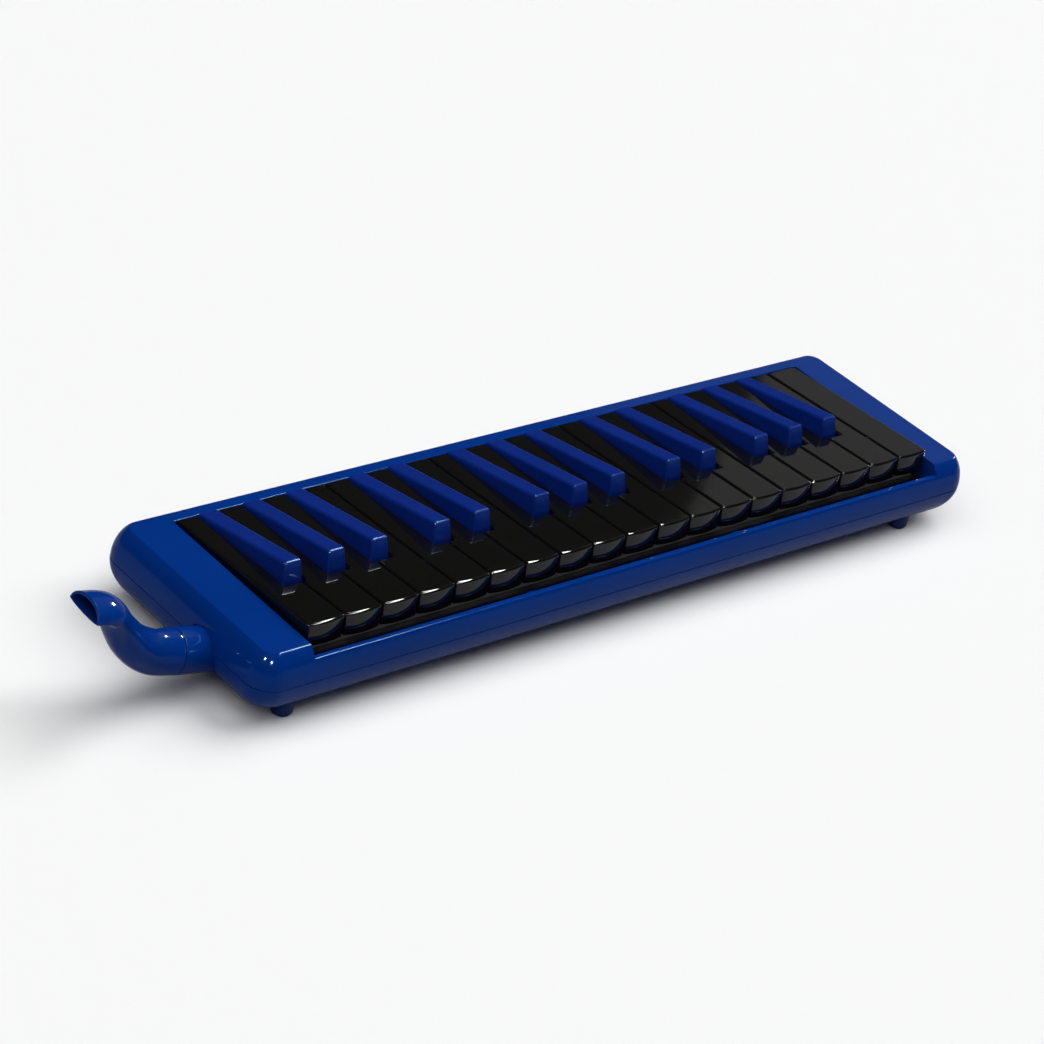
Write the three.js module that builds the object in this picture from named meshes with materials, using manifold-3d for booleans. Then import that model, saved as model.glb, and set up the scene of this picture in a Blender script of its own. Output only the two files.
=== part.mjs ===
// Melodica with 32 keys, F3 to C6. Millimetres, +Z up, +X towards the high notes, +Y towards the key hinge.
//
// Everything is drawn from one datum: X = 0 at the lowest natural's left side, Y = 0 at the front edge of
// the flat top, Z = 0 on the flat top. At the end the model is moved so that its box's bottom centre is
// the origin.
import * as THREE from "three";
import { mergeVertices } from "three/addons/utils/BufferGeometryUtils.js";
import Module from "manifold-3d";

const wasm = await Module();
wasm.setup();

// Clearance between two pieces that touch, and around a shaft that turns or a plug that slides.
const GAP = 0.3;
const RUNNING_GAP = 0.1;
// How far a cutting tool reaches past the face it cuts, and how far joined pieces reach into each other.
const OVERRUN = 1.0;
const BITE = 0.5;

// Keyboard.
const PITCH = 19.5;
const NATURALS = 19;
const KEYBOARD_WIDTH = PITCH * NATURALS;
const KEY_GAP = 0.7;
const KEY_WALL = 1.6;
const KEY_SKIN = 2.2;
const KEY_BOTTOM_Z = -4.8;
const KEY_BACK_Y = 94.5;
const NATURAL_FRONT = { y: 4.6, z: 5.2 };
const NATURAL_BACK_Z = 0.45;
const NATURAL_EDGE = 0.8;
const NATURAL_LIP = 2.4;
const NOTCH_Y = 33.8;
const NOTCH_HALF = 5.7;
const SHARP_FRONT = { lowY: 35.6, topY: 38.2, z: 11.5 };
const SHARP_BACK_Z = 0.9;
const SHARP_HALF = { base: 5.1, top: 4.25 };
const SHARP_EDGE = 0.9;
const NOTES = ["F", "G", "A", "B", "C", "D", "E"];
const FIRST_OCTAVE = 3;
// Distance of each sharp's middle from the crack between its two naturals, by the natural on its left.
const SHARP_SHIFT = { F: -3.3, G: 0, A: 3.3, C: -1.4, D: 1.4 };

const SHARP_NOSE = 0.4;
const KEY_HEEL_Z = -3.6;
const POCKET_BACK_Y = 92.5;

// Key hinge and the rear arm that clips over its rod.
const HINGE = { y: 96.6, z: -8.0, rodRadius: 1.0 };
const ROD_OVERHANG = 5.6;
const END_LUG_INSET = 2.0;
const ARM = {
  half: 3.0, frontY: 84.0, backY: 101.0, bottomZ: -10.4, topZ: -3.4, tailTopZ: -6.4, slopeY: 97.6,
};

// Valve stem and pad below each key.
const STEM = { half: 1.2, y0: 50.0, y1: 53.0 };
const PAD = { half: 3.6, y0: 46.0, y1: 57.0, top: -14.3, thick: 2.0 };

// Casing.
const TOP = { x0: -22.0, x1: 390.0, y0: 0.0, y1: 100.7, corner: 5.5 };
const TOP_SKIN_Z = -1.0;
const WALL = 2.4;
const BULGE = 5.8;
// How far up its quarter ellipse the upper half's side runs before it meets the flat top in a crease.
const CREASE = THREE.MathUtils.degToRad(62);
const SEAM_Z = -14.6;
const BOTTOM_Z = -29.3;
const BOTTOM_TUCK = 11.3;
const OPENING = { x0: -1.2, x1: KEYBOARD_WIDTH + 1.2, y0: -1.15, y1: 95.0 };
const STRIP_Z = -4.8;
const SKIRT = { thick: 2.0, bottomZ: -11.0 };
const LOWER_CORNER = 11.3;
const CORNER_STEPS = 5;
const PROFILE_STEPS = 5;

// Feet and casing screws.
const FOOT = {
  radius: 4.7, bottomZ: -35.5, flat: 3.6, shoulder: 4.4, shoulderRise: 0.5, edgeRise: 1.3, topZ: -26.3,
};
const FEET = { left: -5.2, right: 364.6, front: 5.0, back: 95.7 };
const SCREW = { shank: 1.4, head: 2.8, headBottomZ: -28.4, headTopZ: -26.9, topZ: -4.0, shortTopZ: -11.4 };
// The short screws' heads are set deeper, because they stand where the bottom curves up to the front.
const SHORT_HEAD_LIFT = 2.0;
const BOSS = { lower: 4.1, upper: 3.6, hole: 1.7, counterbore: 3.2, shortTopZ: -10.8, web: 1.5 };
const SCREW_PLACES = [
  { name: "screw_front_left", x: -15.8, y: 8, short: false },
  { name: "screw_back_left", x: -15.8, y: 92.7, short: false },
  { name: "screw_front_bass", x: 123.5, y: 2.4, short: true },
  { name: "screw_front_treble", x: 247.0, y: 2.4, short: true },
  { name: "screw_front_right", x: 386.0, y: 8, short: false },
  { name: "screw_back_right", x: 386.0, y: 92.7, short: false },
];
const headLift = (place) => (place.short ? SHORT_HEAD_LIFT : 0);

// Air works: chest, gasket, valve plate with its cells, reed plates.
const CHEST = { x0: -11.0, x1: 381.5, y0: 12.0, y1: 88.0, bottomZ: -26.4, topZ: -15.3, wall: 1.6 };
const PLATE = { y0: 9.0, y1: 101.8, bottomZ: -14.0, topZ: -12.0 };
const CELL = { y0: 29.0, y1: 77.0, bottomZ: -19.4, wall: 1.0 };
const REED_PLATE = { topZ: -19.7, thick: 1.0, x0: -8.0, split: 182.3, x1: 378.5, y0: 29.0, y1: 77.0 };
const SLOT = { halfX: 2.2, y0: 48.9, y1: 54.6 };
// Each reed is a tongue; the lowest note has the longest.
const REED = { frontY: 40.0, longest: 34.0, shortest: 16.0, half: 1.6, slit: 0.4 };
const CHEST_LEDGE = { inset: 1.0, width: 2.0, windows: [40, 130, 220, 310], windowWidth: 20.0 };
const DRAIN_PORT = 2.4;
const LUG = { half: 1.2, y0: 91.0, y1: 98.9, topZ: -5.5 };
const LUG_CRACKS = [4, 7, 11, 14, 18];

// Return springs: one strip of fingers, drawn as it stands below keys that are held down.
const COMB = { y0: 60.0, y1: 65.0, thick: 0.4, fingerHalf: 1.5, rootY: 64.5, tipY: 82.0, tipZ: -2.0 };
const DOWN_FELT = { y0: 10.5, y1: 16.5, topZ: -9.7 };
const UP_FELT = { y0: 99.2, y1: 101.4 };

// Socket and mouthpiece. The socket points out of the left end and a little upwards.
const SOCKET = { x: -41.7, y: 35.1, z: -15.1, rise: THREE.MathUtils.degToRad(11.3) };
const SOCKET_TUBE = { radius: 9.7, length: 23.0, bore: 6.2, boreDepth: 16.0 };
const PIPE = { z: -20.2, radius: 5.6, bore: 4.4, x0: -24.0, x1: -11.3, boreX0: -28.0 };
const SPIGOT = { radius: SOCKET_TUBE.bore - RUNNING_GAP, bore: 4.4, length: 15.0 };
// Stations along the mouthpiece: place beside the socket's mouth, then the section's reach upwards,
// downwards and to each side. The section turns from round to a D with its flat side down.
const MOUTHPIECE = [
  { x: 0.0, z: 0.0, top: 9.7, bottom: 9.7, wide: 9.7 },
  { x: -10.8, z: 2.4, top: 10.0, bottom: 8.9, wide: 8.7 },
  { x: -21.4, z: 10.5, top: 8.1, bottom: 8.1, wide: 8.8 },
  { x: -29.7, z: 20.8, top: 6.8, bottom: 6.7, wide: 8.0 },
  { x: -37.4, z: 30.2, top: 6.5, bottom: 3.4, wide: 9.6 },
  { x: -48.8, z: 33.5, top: 6.3, bottom: 1.0, wide: 9.9 },
];
// The mouthpiece stands turned a little on its round spigot.
const MOUTH_TURN = THREE.MathUtils.degToRad(-3.4);
const MOUTH_WALL = { ring: 5.3, roof: 1.45, floor: 0.8, side: 1.3, thinFrom: 0.62 };
const MOUTH_RINGS = 11;

// Drain valve in the right end.
const DRAIN = { y: 81.6, z: -20.4 };
const DRAIN_BUTTON = { radius: 4.4, x0: 388.2, x1: 397.4, stem: 1.5 };
const DRAIN_SEAL = { radius: 4.0, thick: 1.4 };
const DRAIN_TRAVEL = 1.5;
const DRAIN_SPRING = { radius: 3.0, wire: 0.35, turns: 4, stepsPerTurn: 9 };

// ---------------------------------------------------------------- materials

const material = (color, roughness, metalness = 0) =>
  new THREE.MeshStandardMaterial({ color, roughness, metalness });

const BLUE = material(0x0c3287, 0.22);
const BLACK = material(0x101112, 0.18);
const SHARP_BLUE = material(0x123a9a, 0.3);
const FOOT_BLUE = material(0x0a1f52, 0.5);
const STEEL = material(0xb9bcc0, 0.35, 1);
const BRASS = material(0xb8923e, 0.35, 1);
const INNER_BLACK = material(0x1a1a1c, 0.6);
const RUBBER = material(0x26262a, 0.8);
const FELT = material(0x242426, 0.95);

// ---------------------------------------------------------------- solids

/** Turns a closed geometry into a manifold solid. */
function solidOf(geometry) {
  const bare = geometry.clone();
  bare.deleteAttribute("normal");
  bare.deleteAttribute("uv");
  const merged = mergeVertices(bare, 1e-4);
  return new wasm.Manifold(new wasm.Mesh({
    numProp: 3,
    vertProperties: new Float32Array(merged.attributes.position.array),
    triVerts: new Uint32Array(merged.index.array),
  }));
}

/** Turns a manifold solid back into a geometry. */
function geometryOf(solid) {
  const mesh = solid.getMesh();
  const geometry = new THREE.BufferGeometry();
  geometry.setAttribute("position", new THREE.BufferAttribute(new Float32Array(mesh.vertProperties), 3));
  geometry.setIndex(new THREE.BufferAttribute(new Uint32Array(mesh.triVerts), 1));
  geometry.computeVertexNormals();
  return geometry;
}

const joinAll = (solids) => solids.reduce((whole, piece) => whole.add(piece));

const cutAll = (body, tools) => tools.reduce((rest, tool) => rest.subtract(tool), body);

/** Rectangular block between two corners. */
function block(x0, x1, y0, y1, z0, z1) {
  const geometry = new THREE.BoxGeometry(x1 - x0, y1 - y0, z1 - z0);
  geometry.translate((x0 + x1) / 2, (y0 + y1) / 2, (z0 + z1) / 2);
  return solidOf(geometry);
}

const shapeOf = (points) => new THREE.Shape(points.map(([u, v]) => new THREE.Vector2(u, v)));

/** Outline in X and Y, raised from z0 to z1. */
function prismZ(points, z0, z1) {
  const geometry = new THREE.ExtrudeGeometry(shapeOf(points), { depth: z1 - z0, bevelEnabled: false });
  geometry.translate(0, 0, z0);
  return solidOf(geometry);
}

/** Outline in Y and Z, drawn along X from x0 to x1. */
function prismX(points, x0, x1) {
  const geometry = new THREE.ExtrudeGeometry(shapeOf(points), { depth: x1 - x0, bevelEnabled: false });
  const turn = new THREE.Matrix4().makeBasis(
    new THREE.Vector3(0, 1, 0), new THREE.Vector3(0, 0, 1), new THREE.Vector3(1, 0, 0));
  geometry.applyMatrix4(turn);
  geometry.translate(x0, 0, 0);
  return solidOf(geometry);
}

/** Outline in X and Z, drawn along Y from y0 to y1. */
function prismY(points, y0, y1) {
  const geometry = new THREE.ExtrudeGeometry(shapeOf(points), { depth: y1 - y0, bevelEnabled: false });
  const turn = new THREE.Matrix4().makeBasis(
    new THREE.Vector3(1, 0, 0), new THREE.Vector3(0, 0, 1), new THREE.Vector3(0, -1, 0));
  geometry.applyMatrix4(turn);
  geometry.translate(0, y1, 0);
  return solidOf(geometry);
}

/** Round bar between two points. */
function bar(from, to, radius, sides = 16) {
  const axis = new THREE.Vector3().subVectors(to, from);
  const geometry = new THREE.CylinderGeometry(radius, radius, axis.length(), sides);
  const turn = new THREE.Quaternion().setFromUnitVectors(
    new THREE.Vector3(0, 1, 0), axis.clone().normalize());
  geometry.applyQuaternion(turn);
  const middle = new THREE.Vector3().addVectors(from, to).multiplyScalar(0.5);
  geometry.translate(middle.x, middle.y, middle.z);
  return solidOf(geometry);
}

const barX = (x0, x1, y, z, radius, sides) =>
  bar(new THREE.Vector3(x0, y, z), new THREE.Vector3(x1, y, z), radius, sides);

const barZ = (x, y, z0, z1, radius, sides) =>
  bar(new THREE.Vector3(x, y, z0), new THREE.Vector3(x, y, z1), radius, sides);

/** Closed solid skinned over a row of rings that all hold the same number of points. */
function loft(rings) {
  const size = rings[0].length;
  const points = rings.flat();
  const index = [];
  for (let ring = 0; ring + 1 < rings.length; ring += 1) {
    for (let i = 0; i < size; i += 1) {
      const next = (i + 1) % size;
      const low = ring * size;
      const high = low + size;
      index.push(low + i, low + next, high + next, low + i, high + next, high + i);
    }
  }
  const middleOf = (ring) =>
    ring.reduce((sum, point) => sum.add(point), new THREE.Vector3()).divideScalar(size);
  points.push(middleOf(rings[0]), middleOf(rings.at(-1)));
  const last = (rings.length - 1) * size;
  for (let i = 0; i < size; i += 1) {
    const next = (i + 1) % size;
    index.push(points.length - 2, next, i);
    index.push(points.length - 1, last + i, last + next);
  }
  const geometry = new THREE.BufferGeometry().setFromPoints(points);
  geometry.setIndex(index);
  return solidOf(geometry);
}

// ---------------------------------------------------------------- casing

/** Rounded rectangle that stands outside the flat top's outline by outset, at height z. */
function casingRing(outset, z, smallestCorner) {
  const radius = Math.max(TOP.corner + outset, smallestCorner);
  const corners = [
    { x: TOP.x1 + outset - radius, y: TOP.y1 + outset - radius, start: 0 },
    { x: TOP.x0 - outset + radius, y: TOP.y1 + outset - radius, start: Math.PI / 2 },
    { x: TOP.x0 - outset + radius, y: TOP.y0 - outset + radius, start: Math.PI },
    { x: TOP.x1 + outset - radius, y: TOP.y0 - outset + radius, start: 1.5 * Math.PI },
  ];
  return corners.flatMap((corner) =>
    Array.from({ length: CORNER_STEPS + 1 }, (_, i) => {
      const angle = corner.start + (i / CORNER_STEPS) * (Math.PI / 2);
      return new THREE.Vector3(
        corner.x + radius * Math.cos(angle), corner.y + radius * Math.sin(angle), z);
    }));
}

/** Upper half's solid form: an elliptic side from the seam to the flat top's crease, moved in by inset. */
function upperForm(inset) {
  const rings = [];
  for (let i = 0; i <= PROFILE_STEPS; i += 1) {
    const t = (i / PROFILE_STEPS) * CREASE;
    const reach = (Math.cos(t) - Math.cos(CREASE)) / (1 - Math.cos(CREASE));
    const height = (SEAM_Z + inset) * (1 - Math.sin(t) / Math.sin(CREASE)) - inset;
    rings.push(casingRing(BULGE * reach - inset, i === 0 ? SEAM_Z : height, 1));
  }
  return loft(rings);
}

/** Lower half's solid form: a quarter ellipse from the seam down to the flat bottom, moved in by inset. */
function lowerForm(inset) {
  const seam = SEAM_Z - GAP;
  const floor = BOTTOM_Z + inset;
  const rings = [];
  for (let i = 0; i <= PROFILE_STEPS; i += 1) {
    const t = (1 - i / PROFILE_STEPS) * (Math.PI / 2);
    const outset = BULGE - inset - BOTTOM_TUCK * (1 - Math.cos(t));
    rings.push(casingRing(outset, seam + (floor - seam) * Math.sin(t), LOWER_CORNER - inset));
  }
  return loft(rings);
}

const SOCKET_AXIS = new THREE.Vector3(-Math.cos(SOCKET.rise), 0, Math.sin(SOCKET.rise));

/** Point on the socket's axis, a distance outward from its mouth. */
const onSocketAxis = (outward) =>
  new THREE.Vector3(SOCKET.x, SOCKET.y, SOCKET.z).addScaledVector(SOCKET_AXIS, outward);

/** Room that the socket's outside and its inner pipe take in the casing. */
function socketRoom() {
  return bar(onSocketAxis(OVERRUN), onSocketAxis(-SOCKET_TUBE.length - GAP), SOCKET_TUBE.radius + GAP, 24)
    .add(barX(PIPE.x0, PIPE.x1, SOCKET.y, PIPE.z, PIPE.radius + GAP, 12));
}

function upperCasing() {
  const cavity = upperForm(WALL).add(upperForm(WALL).translate([0, 0, -OVERRUN]));
  const skirts = [OPENING.x0 - SKIRT.thick, OPENING.x1].map((x) =>
    block(x, x + SKIRT.thick, OPENING.y0, OPENING.y1, SKIRT.bottomZ, TOP_SKIN_Z));
  const bosses = SCREW_PLACES.map((place) =>
    barZ(place.x, place.y, SEAM_Z, place.short ? BOSS.shortTopZ : TOP_SKIN_Z, BOSS.upper, 10));
  const webs = SCREW_PLACES.filter((place) => place.short).map((place) =>
    block(place.x - BOSS.web, place.x + BOSS.web, -BULGE, place.y, SEAM_Z, BOSS.shortTopZ));
  const inside = joinAll([...skirts, ...bosses, ...webs]).intersect(upperForm(BITE));
  const opening = block(OPENING.x0, OPENING.x1, OPENING.y0, OPENING.y1, BOSS.shortTopZ, OVERRUN);
  const frontCut = block(
    OPENING.x0, OPENING.x1, -BULGE - OVERRUN, OPENING.y0 + OVERRUN, STRIP_Z, OVERRUN);
  const holes = SCREW_PLACES.map((place) => barZ(
    place.x, place.y, SEAM_Z - OVERRUN, screwTop(place) + GAP, BOSS.hole, 10));
  return cutAll(upperForm(0).subtract(cavity).add(inside), [opening, frontCut, socketRoom(), ...holes]);
}

function lowerCasing() {
  const cavity = lowerForm(WALL).add(lowerForm(WALL).translate([0, 0, BITE]));
  const bosses = SCREW_PLACES.map((place) => barZ(
    place.x, place.y, BOTTOM_Z + BITE, SEAM_Z - GAP, BOSS.lower, 10).intersect(lowerForm(BITE)));
  const holes = SCREW_PLACES.flatMap((place) => [
    barZ(place.x, place.y, BOTTOM_Z - OVERRUN, SEAM_Z + OVERRUN, BOSS.hole, 10),
    barZ(place.x, place.y, BOTTOM_Z - OVERRUN, SCREW.headTopZ + headLift(place) + GAP, BOSS.counterbore, 10),
  ]);
  const drainHole = barX(
    DRAIN_BUTTON.x0, DRAIN_BUTTON.x1 + OVERRUN, DRAIN.y, DRAIN.z, DRAIN_BUTTON.radius + GAP);
  const shell = lowerForm(0).subtract(cavity);
  return cutAll(joinAll([shell, ...bosses]), [socketRoom(), drainHole, ...holes]);
}

/** Round foot with a rounded edge, shaped on top to the casing's underside. */
function foot(x, y) {
  const outline = [
    [0, FOOT.bottomZ], [FOOT.flat, FOOT.bottomZ], [FOOT.shoulder, FOOT.bottomZ + FOOT.shoulderRise],
    [FOOT.radius, FOOT.bottomZ + FOOT.edgeRise], [FOOT.radius, FOOT.topZ], [0, FOOT.topZ],
  ];
  const profile = outline.map(([radius, height]) => new THREE.Vector2(radius, height));
  const geometry = new THREE.LatheGeometry(profile, 14);
  geometry.rotateX(Math.PI / 2);
  geometry.translate(x, y, 0);
  return solidOf(geometry).subtract(lowerForm(-GAP));
}

const screwTop = (place) => (place.short ? SCREW.shortTopZ : SCREW.topZ);

function screw(place) {
  const bottom = SCREW.headBottomZ + headLift(place);
  const top = SCREW.headTopZ + headLift(place);
  return barZ(place.x, place.y, bottom, top, SCREW.head, 10)
    .add(barZ(place.x, place.y, top - BITE, screwTop(place), SCREW.shank, 6));
}

// ---------------------------------------------------------------- keys

const noteOf = (natural) => NOTES[natural % NOTES.length];

/** Octave number of a natural, which steps up at each C. */
function octaveOf(natural) {
  const stepsToC = NOTES.indexOf("C");
  return FIRST_OCTAVE + Math.floor((natural + NOTES.length - stepsToC) / NOTES.length);
}

/** Middle of the sharp over the crack on the right of a natural, or null where there is none. */
function sharpMiddle(natural) {
  const shift = SHARP_SHIFT[noteOf(natural)];
  if (shift === undefined || natural < 0 || natural >= NATURALS - 1) return null;
  return (natural + 1) * PITCH + shift;
}

/** Height of the naturals' sloping top at a distance y behind the casing's front edge. */
function naturalTop(y) {
  const back = (y - NATURAL_FRONT.y) / (KEY_BACK_Y - NATURAL_FRONT.y);
  return NATURAL_FRONT.z + (NATURAL_BACK_Z - NATURAL_FRONT.z) * back;
}

/** Left and right sides of a natural, in front and in the neck beside the sharps. */
function naturalSides(natural) {
  const left = natural * PITCH + KEY_GAP / 2;
  const right = (natural + 1) * PITCH - KEY_GAP / 2;
  const leftSharp = natural > 0 ? sharpMiddle(natural - 1) : null;
  const rightSharp = sharpMiddle(natural);
  return {
    left,
    right,
    neckLeft: leftSharp === null ? left : leftSharp + NOTCH_HALF,
    neckRight: rightSharp === null ? right : rightSharp - NOTCH_HALF,
  };
}

/** Plan outline of a natural, moved in by inset. */
function naturalPlan(natural, inset, y0, y1) {
  const side = naturalSides(natural);
  const notch = NOTCH_Y - inset;
  const points = [[side.left + inset, y0], [side.right - inset, y0]];
  if (side.neckRight < side.right) {
    points.push([side.right - inset, notch], [side.neckRight - inset, notch]);
  }
  points.push([side.neckRight - inset, y1], [side.neckLeft + inset, y1]);
  if (side.neckLeft > side.left) {
    points.push([side.neckLeft + inset, notch], [side.left + inset, notch]);
  }
  return points;
}

/** Hollow under a key, seen from the side. */
const pocketProfile = (frontY) => [
  [frontY, KEY_BOTTOM_Z - OVERRUN], [POCKET_BACK_Y, KEY_BOTTOM_Z - OVERRUN],
  [POCKET_BACK_Y, naturalTop(POCKET_BACK_Y) - KEY_SKIN], [frontY, naturalTop(frontY) - KEY_SKIN],
];

/** Rear arm with the clip that sits over the hinge rod. */
function keyArm(middle) {
  const profile = [
    [ARM.frontY, ARM.bottomZ], [ARM.backY, ARM.bottomZ], [ARM.backY, ARM.tailTopZ],
    [ARM.slopeY, ARM.topZ], [KEY_BACK_Y, ARM.topZ],
    [KEY_BACK_Y, naturalTop(KEY_BACK_Y) - BITE], [ARM.frontY, naturalTop(ARM.frontY) - BITE],
  ];
  const room = HINGE.rodRadius + RUNNING_GAP;
  const x0 = middle - ARM.half - OVERRUN;
  const x1 = middle + ARM.half + OVERRUN;
  const clip = block(x0, x1, HINGE.y - room, HINGE.y + room, ARM.bottomZ - OVERRUN, HINGE.z)
    .add(barX(x0, x1, HINGE.y, HINGE.z, room, 12));
  return prismX(profile, middle - ARM.half, middle + ARM.half).subtract(clip);
}

/** Stem that reaches through the valve plate, with the pad that closes the slot from below. */
function keyValve(middle) {
  const stemTop = naturalTop(STEM.y1) - KEY_SKIN + BITE;
  return block(middle - STEM.half, middle + STEM.half, STEM.y0, STEM.y1, PAD.top - BITE, stemTop)
    .add(block(middle - PAD.half, middle + PAD.half, PAD.y0, PAD.y1, PAD.top - PAD.thick, PAD.top));
}

const naturalMiddle = (side) => (side.neckLeft + side.neckRight) / 2;

/** Hollow natural key with its notches for the sharps, its arm and its valve. */
function naturalKey(natural) {
  const side = naturalSides(natural);
  const profile = [
    [NATURAL_FRONT.y, KEY_BOTTOM_Z], [KEY_BACK_Y, KEY_HEEL_Z], [KEY_BACK_Y, NATURAL_BACK_Z],
    [NATURAL_FRONT.y + NATURAL_EDGE, naturalTop(NATURAL_FRONT.y + NATURAL_EDGE)],
    [NATURAL_FRONT.y, NATURAL_FRONT.z - NATURAL_EDGE],
  ];
  const column = (inset) => prismZ(
    naturalPlan(natural, inset, 0, KEY_BACK_Y + OVERRUN), KEY_BOTTOM_Z - OVERRUN, SHARP_FRONT.z);
  const body = prismX(profile, side.left - OVERRUN, side.right + OVERRUN).intersect(column(0));
  const pocket = prismX(pocketProfile(NATURAL_FRONT.y + NATURAL_LIP), side.left, side.right)
    .intersect(column(KEY_WALL));
  const middle = naturalMiddle(side);
  return joinAll([body.subtract(pocket), keyArm(middle), keyValve(middle)]);
}

/** Hollow sharp key with tapered sides, its arm and its valve. */
function sharpKey(middle) {
  const low = SHARP_HALF.base;
  const high = SHARP_HALF.top;
  const profile = [
    [SHARP_FRONT.lowY, KEY_BOTTOM_Z], [KEY_BACK_Y, KEY_HEEL_Z], [KEY_BACK_Y, SHARP_BACK_Z],
    [SHARP_FRONT.topY + SHARP_EDGE, SHARP_FRONT.z],
    [SHARP_FRONT.topY - SHARP_NOSE, SHARP_FRONT.z - SHARP_EDGE],
    [SHARP_FRONT.lowY, naturalTop(SHARP_FRONT.lowY)],
  ];
  const section = [
    [middle - low, KEY_BOTTOM_Z - OVERRUN], [middle + low, KEY_BOTTOM_Z - OVERRUN],
    [middle + high, SHARP_FRONT.z + OVERRUN], [middle - high, SHARP_FRONT.z + OVERRUN],
  ];
  const body = prismX(profile, middle - low, middle + low)
    .intersect(prismY(section, SHARP_FRONT.lowY - OVERRUN, KEY_BACK_Y + OVERRUN));
  const hollow = low - KEY_WALL;
  const pocket = prismX(pocketProfile(SHARP_FRONT.topY), middle - hollow, middle + hollow);
  return joinAll([body.subtract(pocket), keyArm(middle), keyValve(middle)]);
}

/** Every key from left to right with its node name, its middle at the hinge and its solid. */
function keyList() {
  const keys = [];
  for (let natural = 0; natural < NATURALS; natural += 1) {
    const side = naturalSides(natural);
    const note = noteOf(natural);
    const octave = octaveOf(natural);
    keys.push({
      name: `key_${note}${octave}`,
      middle: naturalMiddle(side),
      solid: naturalKey(natural),
      look: BLACK,
    });
    const middle = sharpMiddle(natural);
    if (middle !== null) {
      keys.push({ name: `key_${note}sharp${octave}`, middle, solid: sharpKey(middle), look: SHARP_BLUE });
    }
  }
  return keys;
}

const KEYS = keyList();

// ---------------------------------------------------------------- action

const ROD_ENDS = { x0: OPENING.x0 - ROD_OVERHANG, x1: OPENING.x1 + ROD_OVERHANG };

const hingeRod = () => barX(ROD_ENDS.x0, ROD_ENDS.x1, HINGE.y, HINGE.z, HINGE.rodRadius, 10);

/** One stamped strip whose fingers push the keys up. */
function springComb() {
  const low = PLATE.topZ + GAP;
  const rise = [
    [COMB.rootY, low], [COMB.tipY, COMB.tipZ - COMB.thick],
    [COMB.tipY, COMB.tipZ], [COMB.rootY, low + COMB.thick],
  ];
  const half = COMB.fingerHalf;
  const fingers = KEYS.map((key) => prismX(rise, key.middle - half, key.middle + half));
  const strip = block(0, KEYBOARD_WIDTH, COMB.y0, COMB.y1, low, low + COMB.thick);
  return joinAll([strip, ...fingers]);
}

/** Lug that carries the hinge rod. */
function rodLug(x) {
  const hole = barX(
    x - LUG.half - OVERRUN, x + LUG.half + OVERRUN, HINGE.y, HINGE.z, HINGE.rodRadius + RUNNING_GAP, 12);
  return block(x - LUG.half, x + LUG.half, LUG.y0, LUG.y1, PLATE.bottomZ + BITE, LUG.topZ).subtract(hole);
}

/** Plate with one slot per key, walls between the reed cells below it, and the rod's lugs above it. */
function valvePlate() {
  const plate = block(CHEST.x0, CHEST.x1, PLATE.y0, PLATE.y1, PLATE.bottomZ, PLATE.topZ);
  const cracks = KEYS.slice(1).map((key, i) => (key.middle + KEYS[i].middle) / 2);
  const cellWalls = cracks.map((x) => block(
    x - CELL.wall / 2, x + CELL.wall / 2,
    CELL.y0 + BITE, CELL.y1 - BITE,
    CELL.bottomZ, PLATE.bottomZ + BITE));
  const longWalls = [CELL.y0, CELL.y1 - CELL.wall].map((y) => block(
    REED_PLATE.x0, REED_PLATE.x1, y, y + CELL.wall, CELL.bottomZ, PLATE.bottomZ + BITE));
  const lugPlaces = [
    ROD_ENDS.x0 + END_LUG_INSET, ...LUG_CRACKS.map((crack) => crack * PITCH), ROD_ENDS.x1 - END_LUG_INSET,
  ];
  const slots = KEYS.map((key) => block(
    key.middle - SLOT.halfX, key.middle + SLOT.halfX, SLOT.y0, SLOT.y1,
    PLATE.bottomZ - OVERRUN, PLATE.topZ + OVERRUN));
  return cutAll(joinAll([plate, ...cellWalls, ...longWalls, ...lugPlaces.map(rodLug)]), slots);
}

/** Brass plate with one reed per key. Each reed is a tongue cut free on three sides. */
function reedPlate(x0, x1) {
  const bottom = REED_PLATE.topZ - REED_PLATE.thick;
  const plate = block(x0, x1, REED_PLATE.y0, REED_PLATE.y1, bottom, REED_PLATE.topZ);
  const slit = (fromX, toX, fromY, toY) =>
    block(fromX, toX, fromY, toY, bottom - OVERRUN, REED_PLATE.topZ + OVERRUN);
  const outer = REED.half + REED.slit;
  const mine = KEYS.filter((key) => key.middle > x0 && key.middle < x1);
  const slits = mine.flatMap((key) => {
    const height = KEYS.indexOf(key) / (KEYS.length - 1);
    const backY = REED.frontY + REED.longest + (REED.shortest - REED.longest) * height;
    return [
      slit(key.middle - outer, key.middle - REED.half, REED.frontY, backY),
      slit(key.middle + REED.half, key.middle + outer, REED.frontY, backY),
      slit(key.middle - outer, key.middle + outer, REED.frontY - REED.slit, REED.frontY),
    ];
  });
  return cutAll(plate, slits);
}

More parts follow.
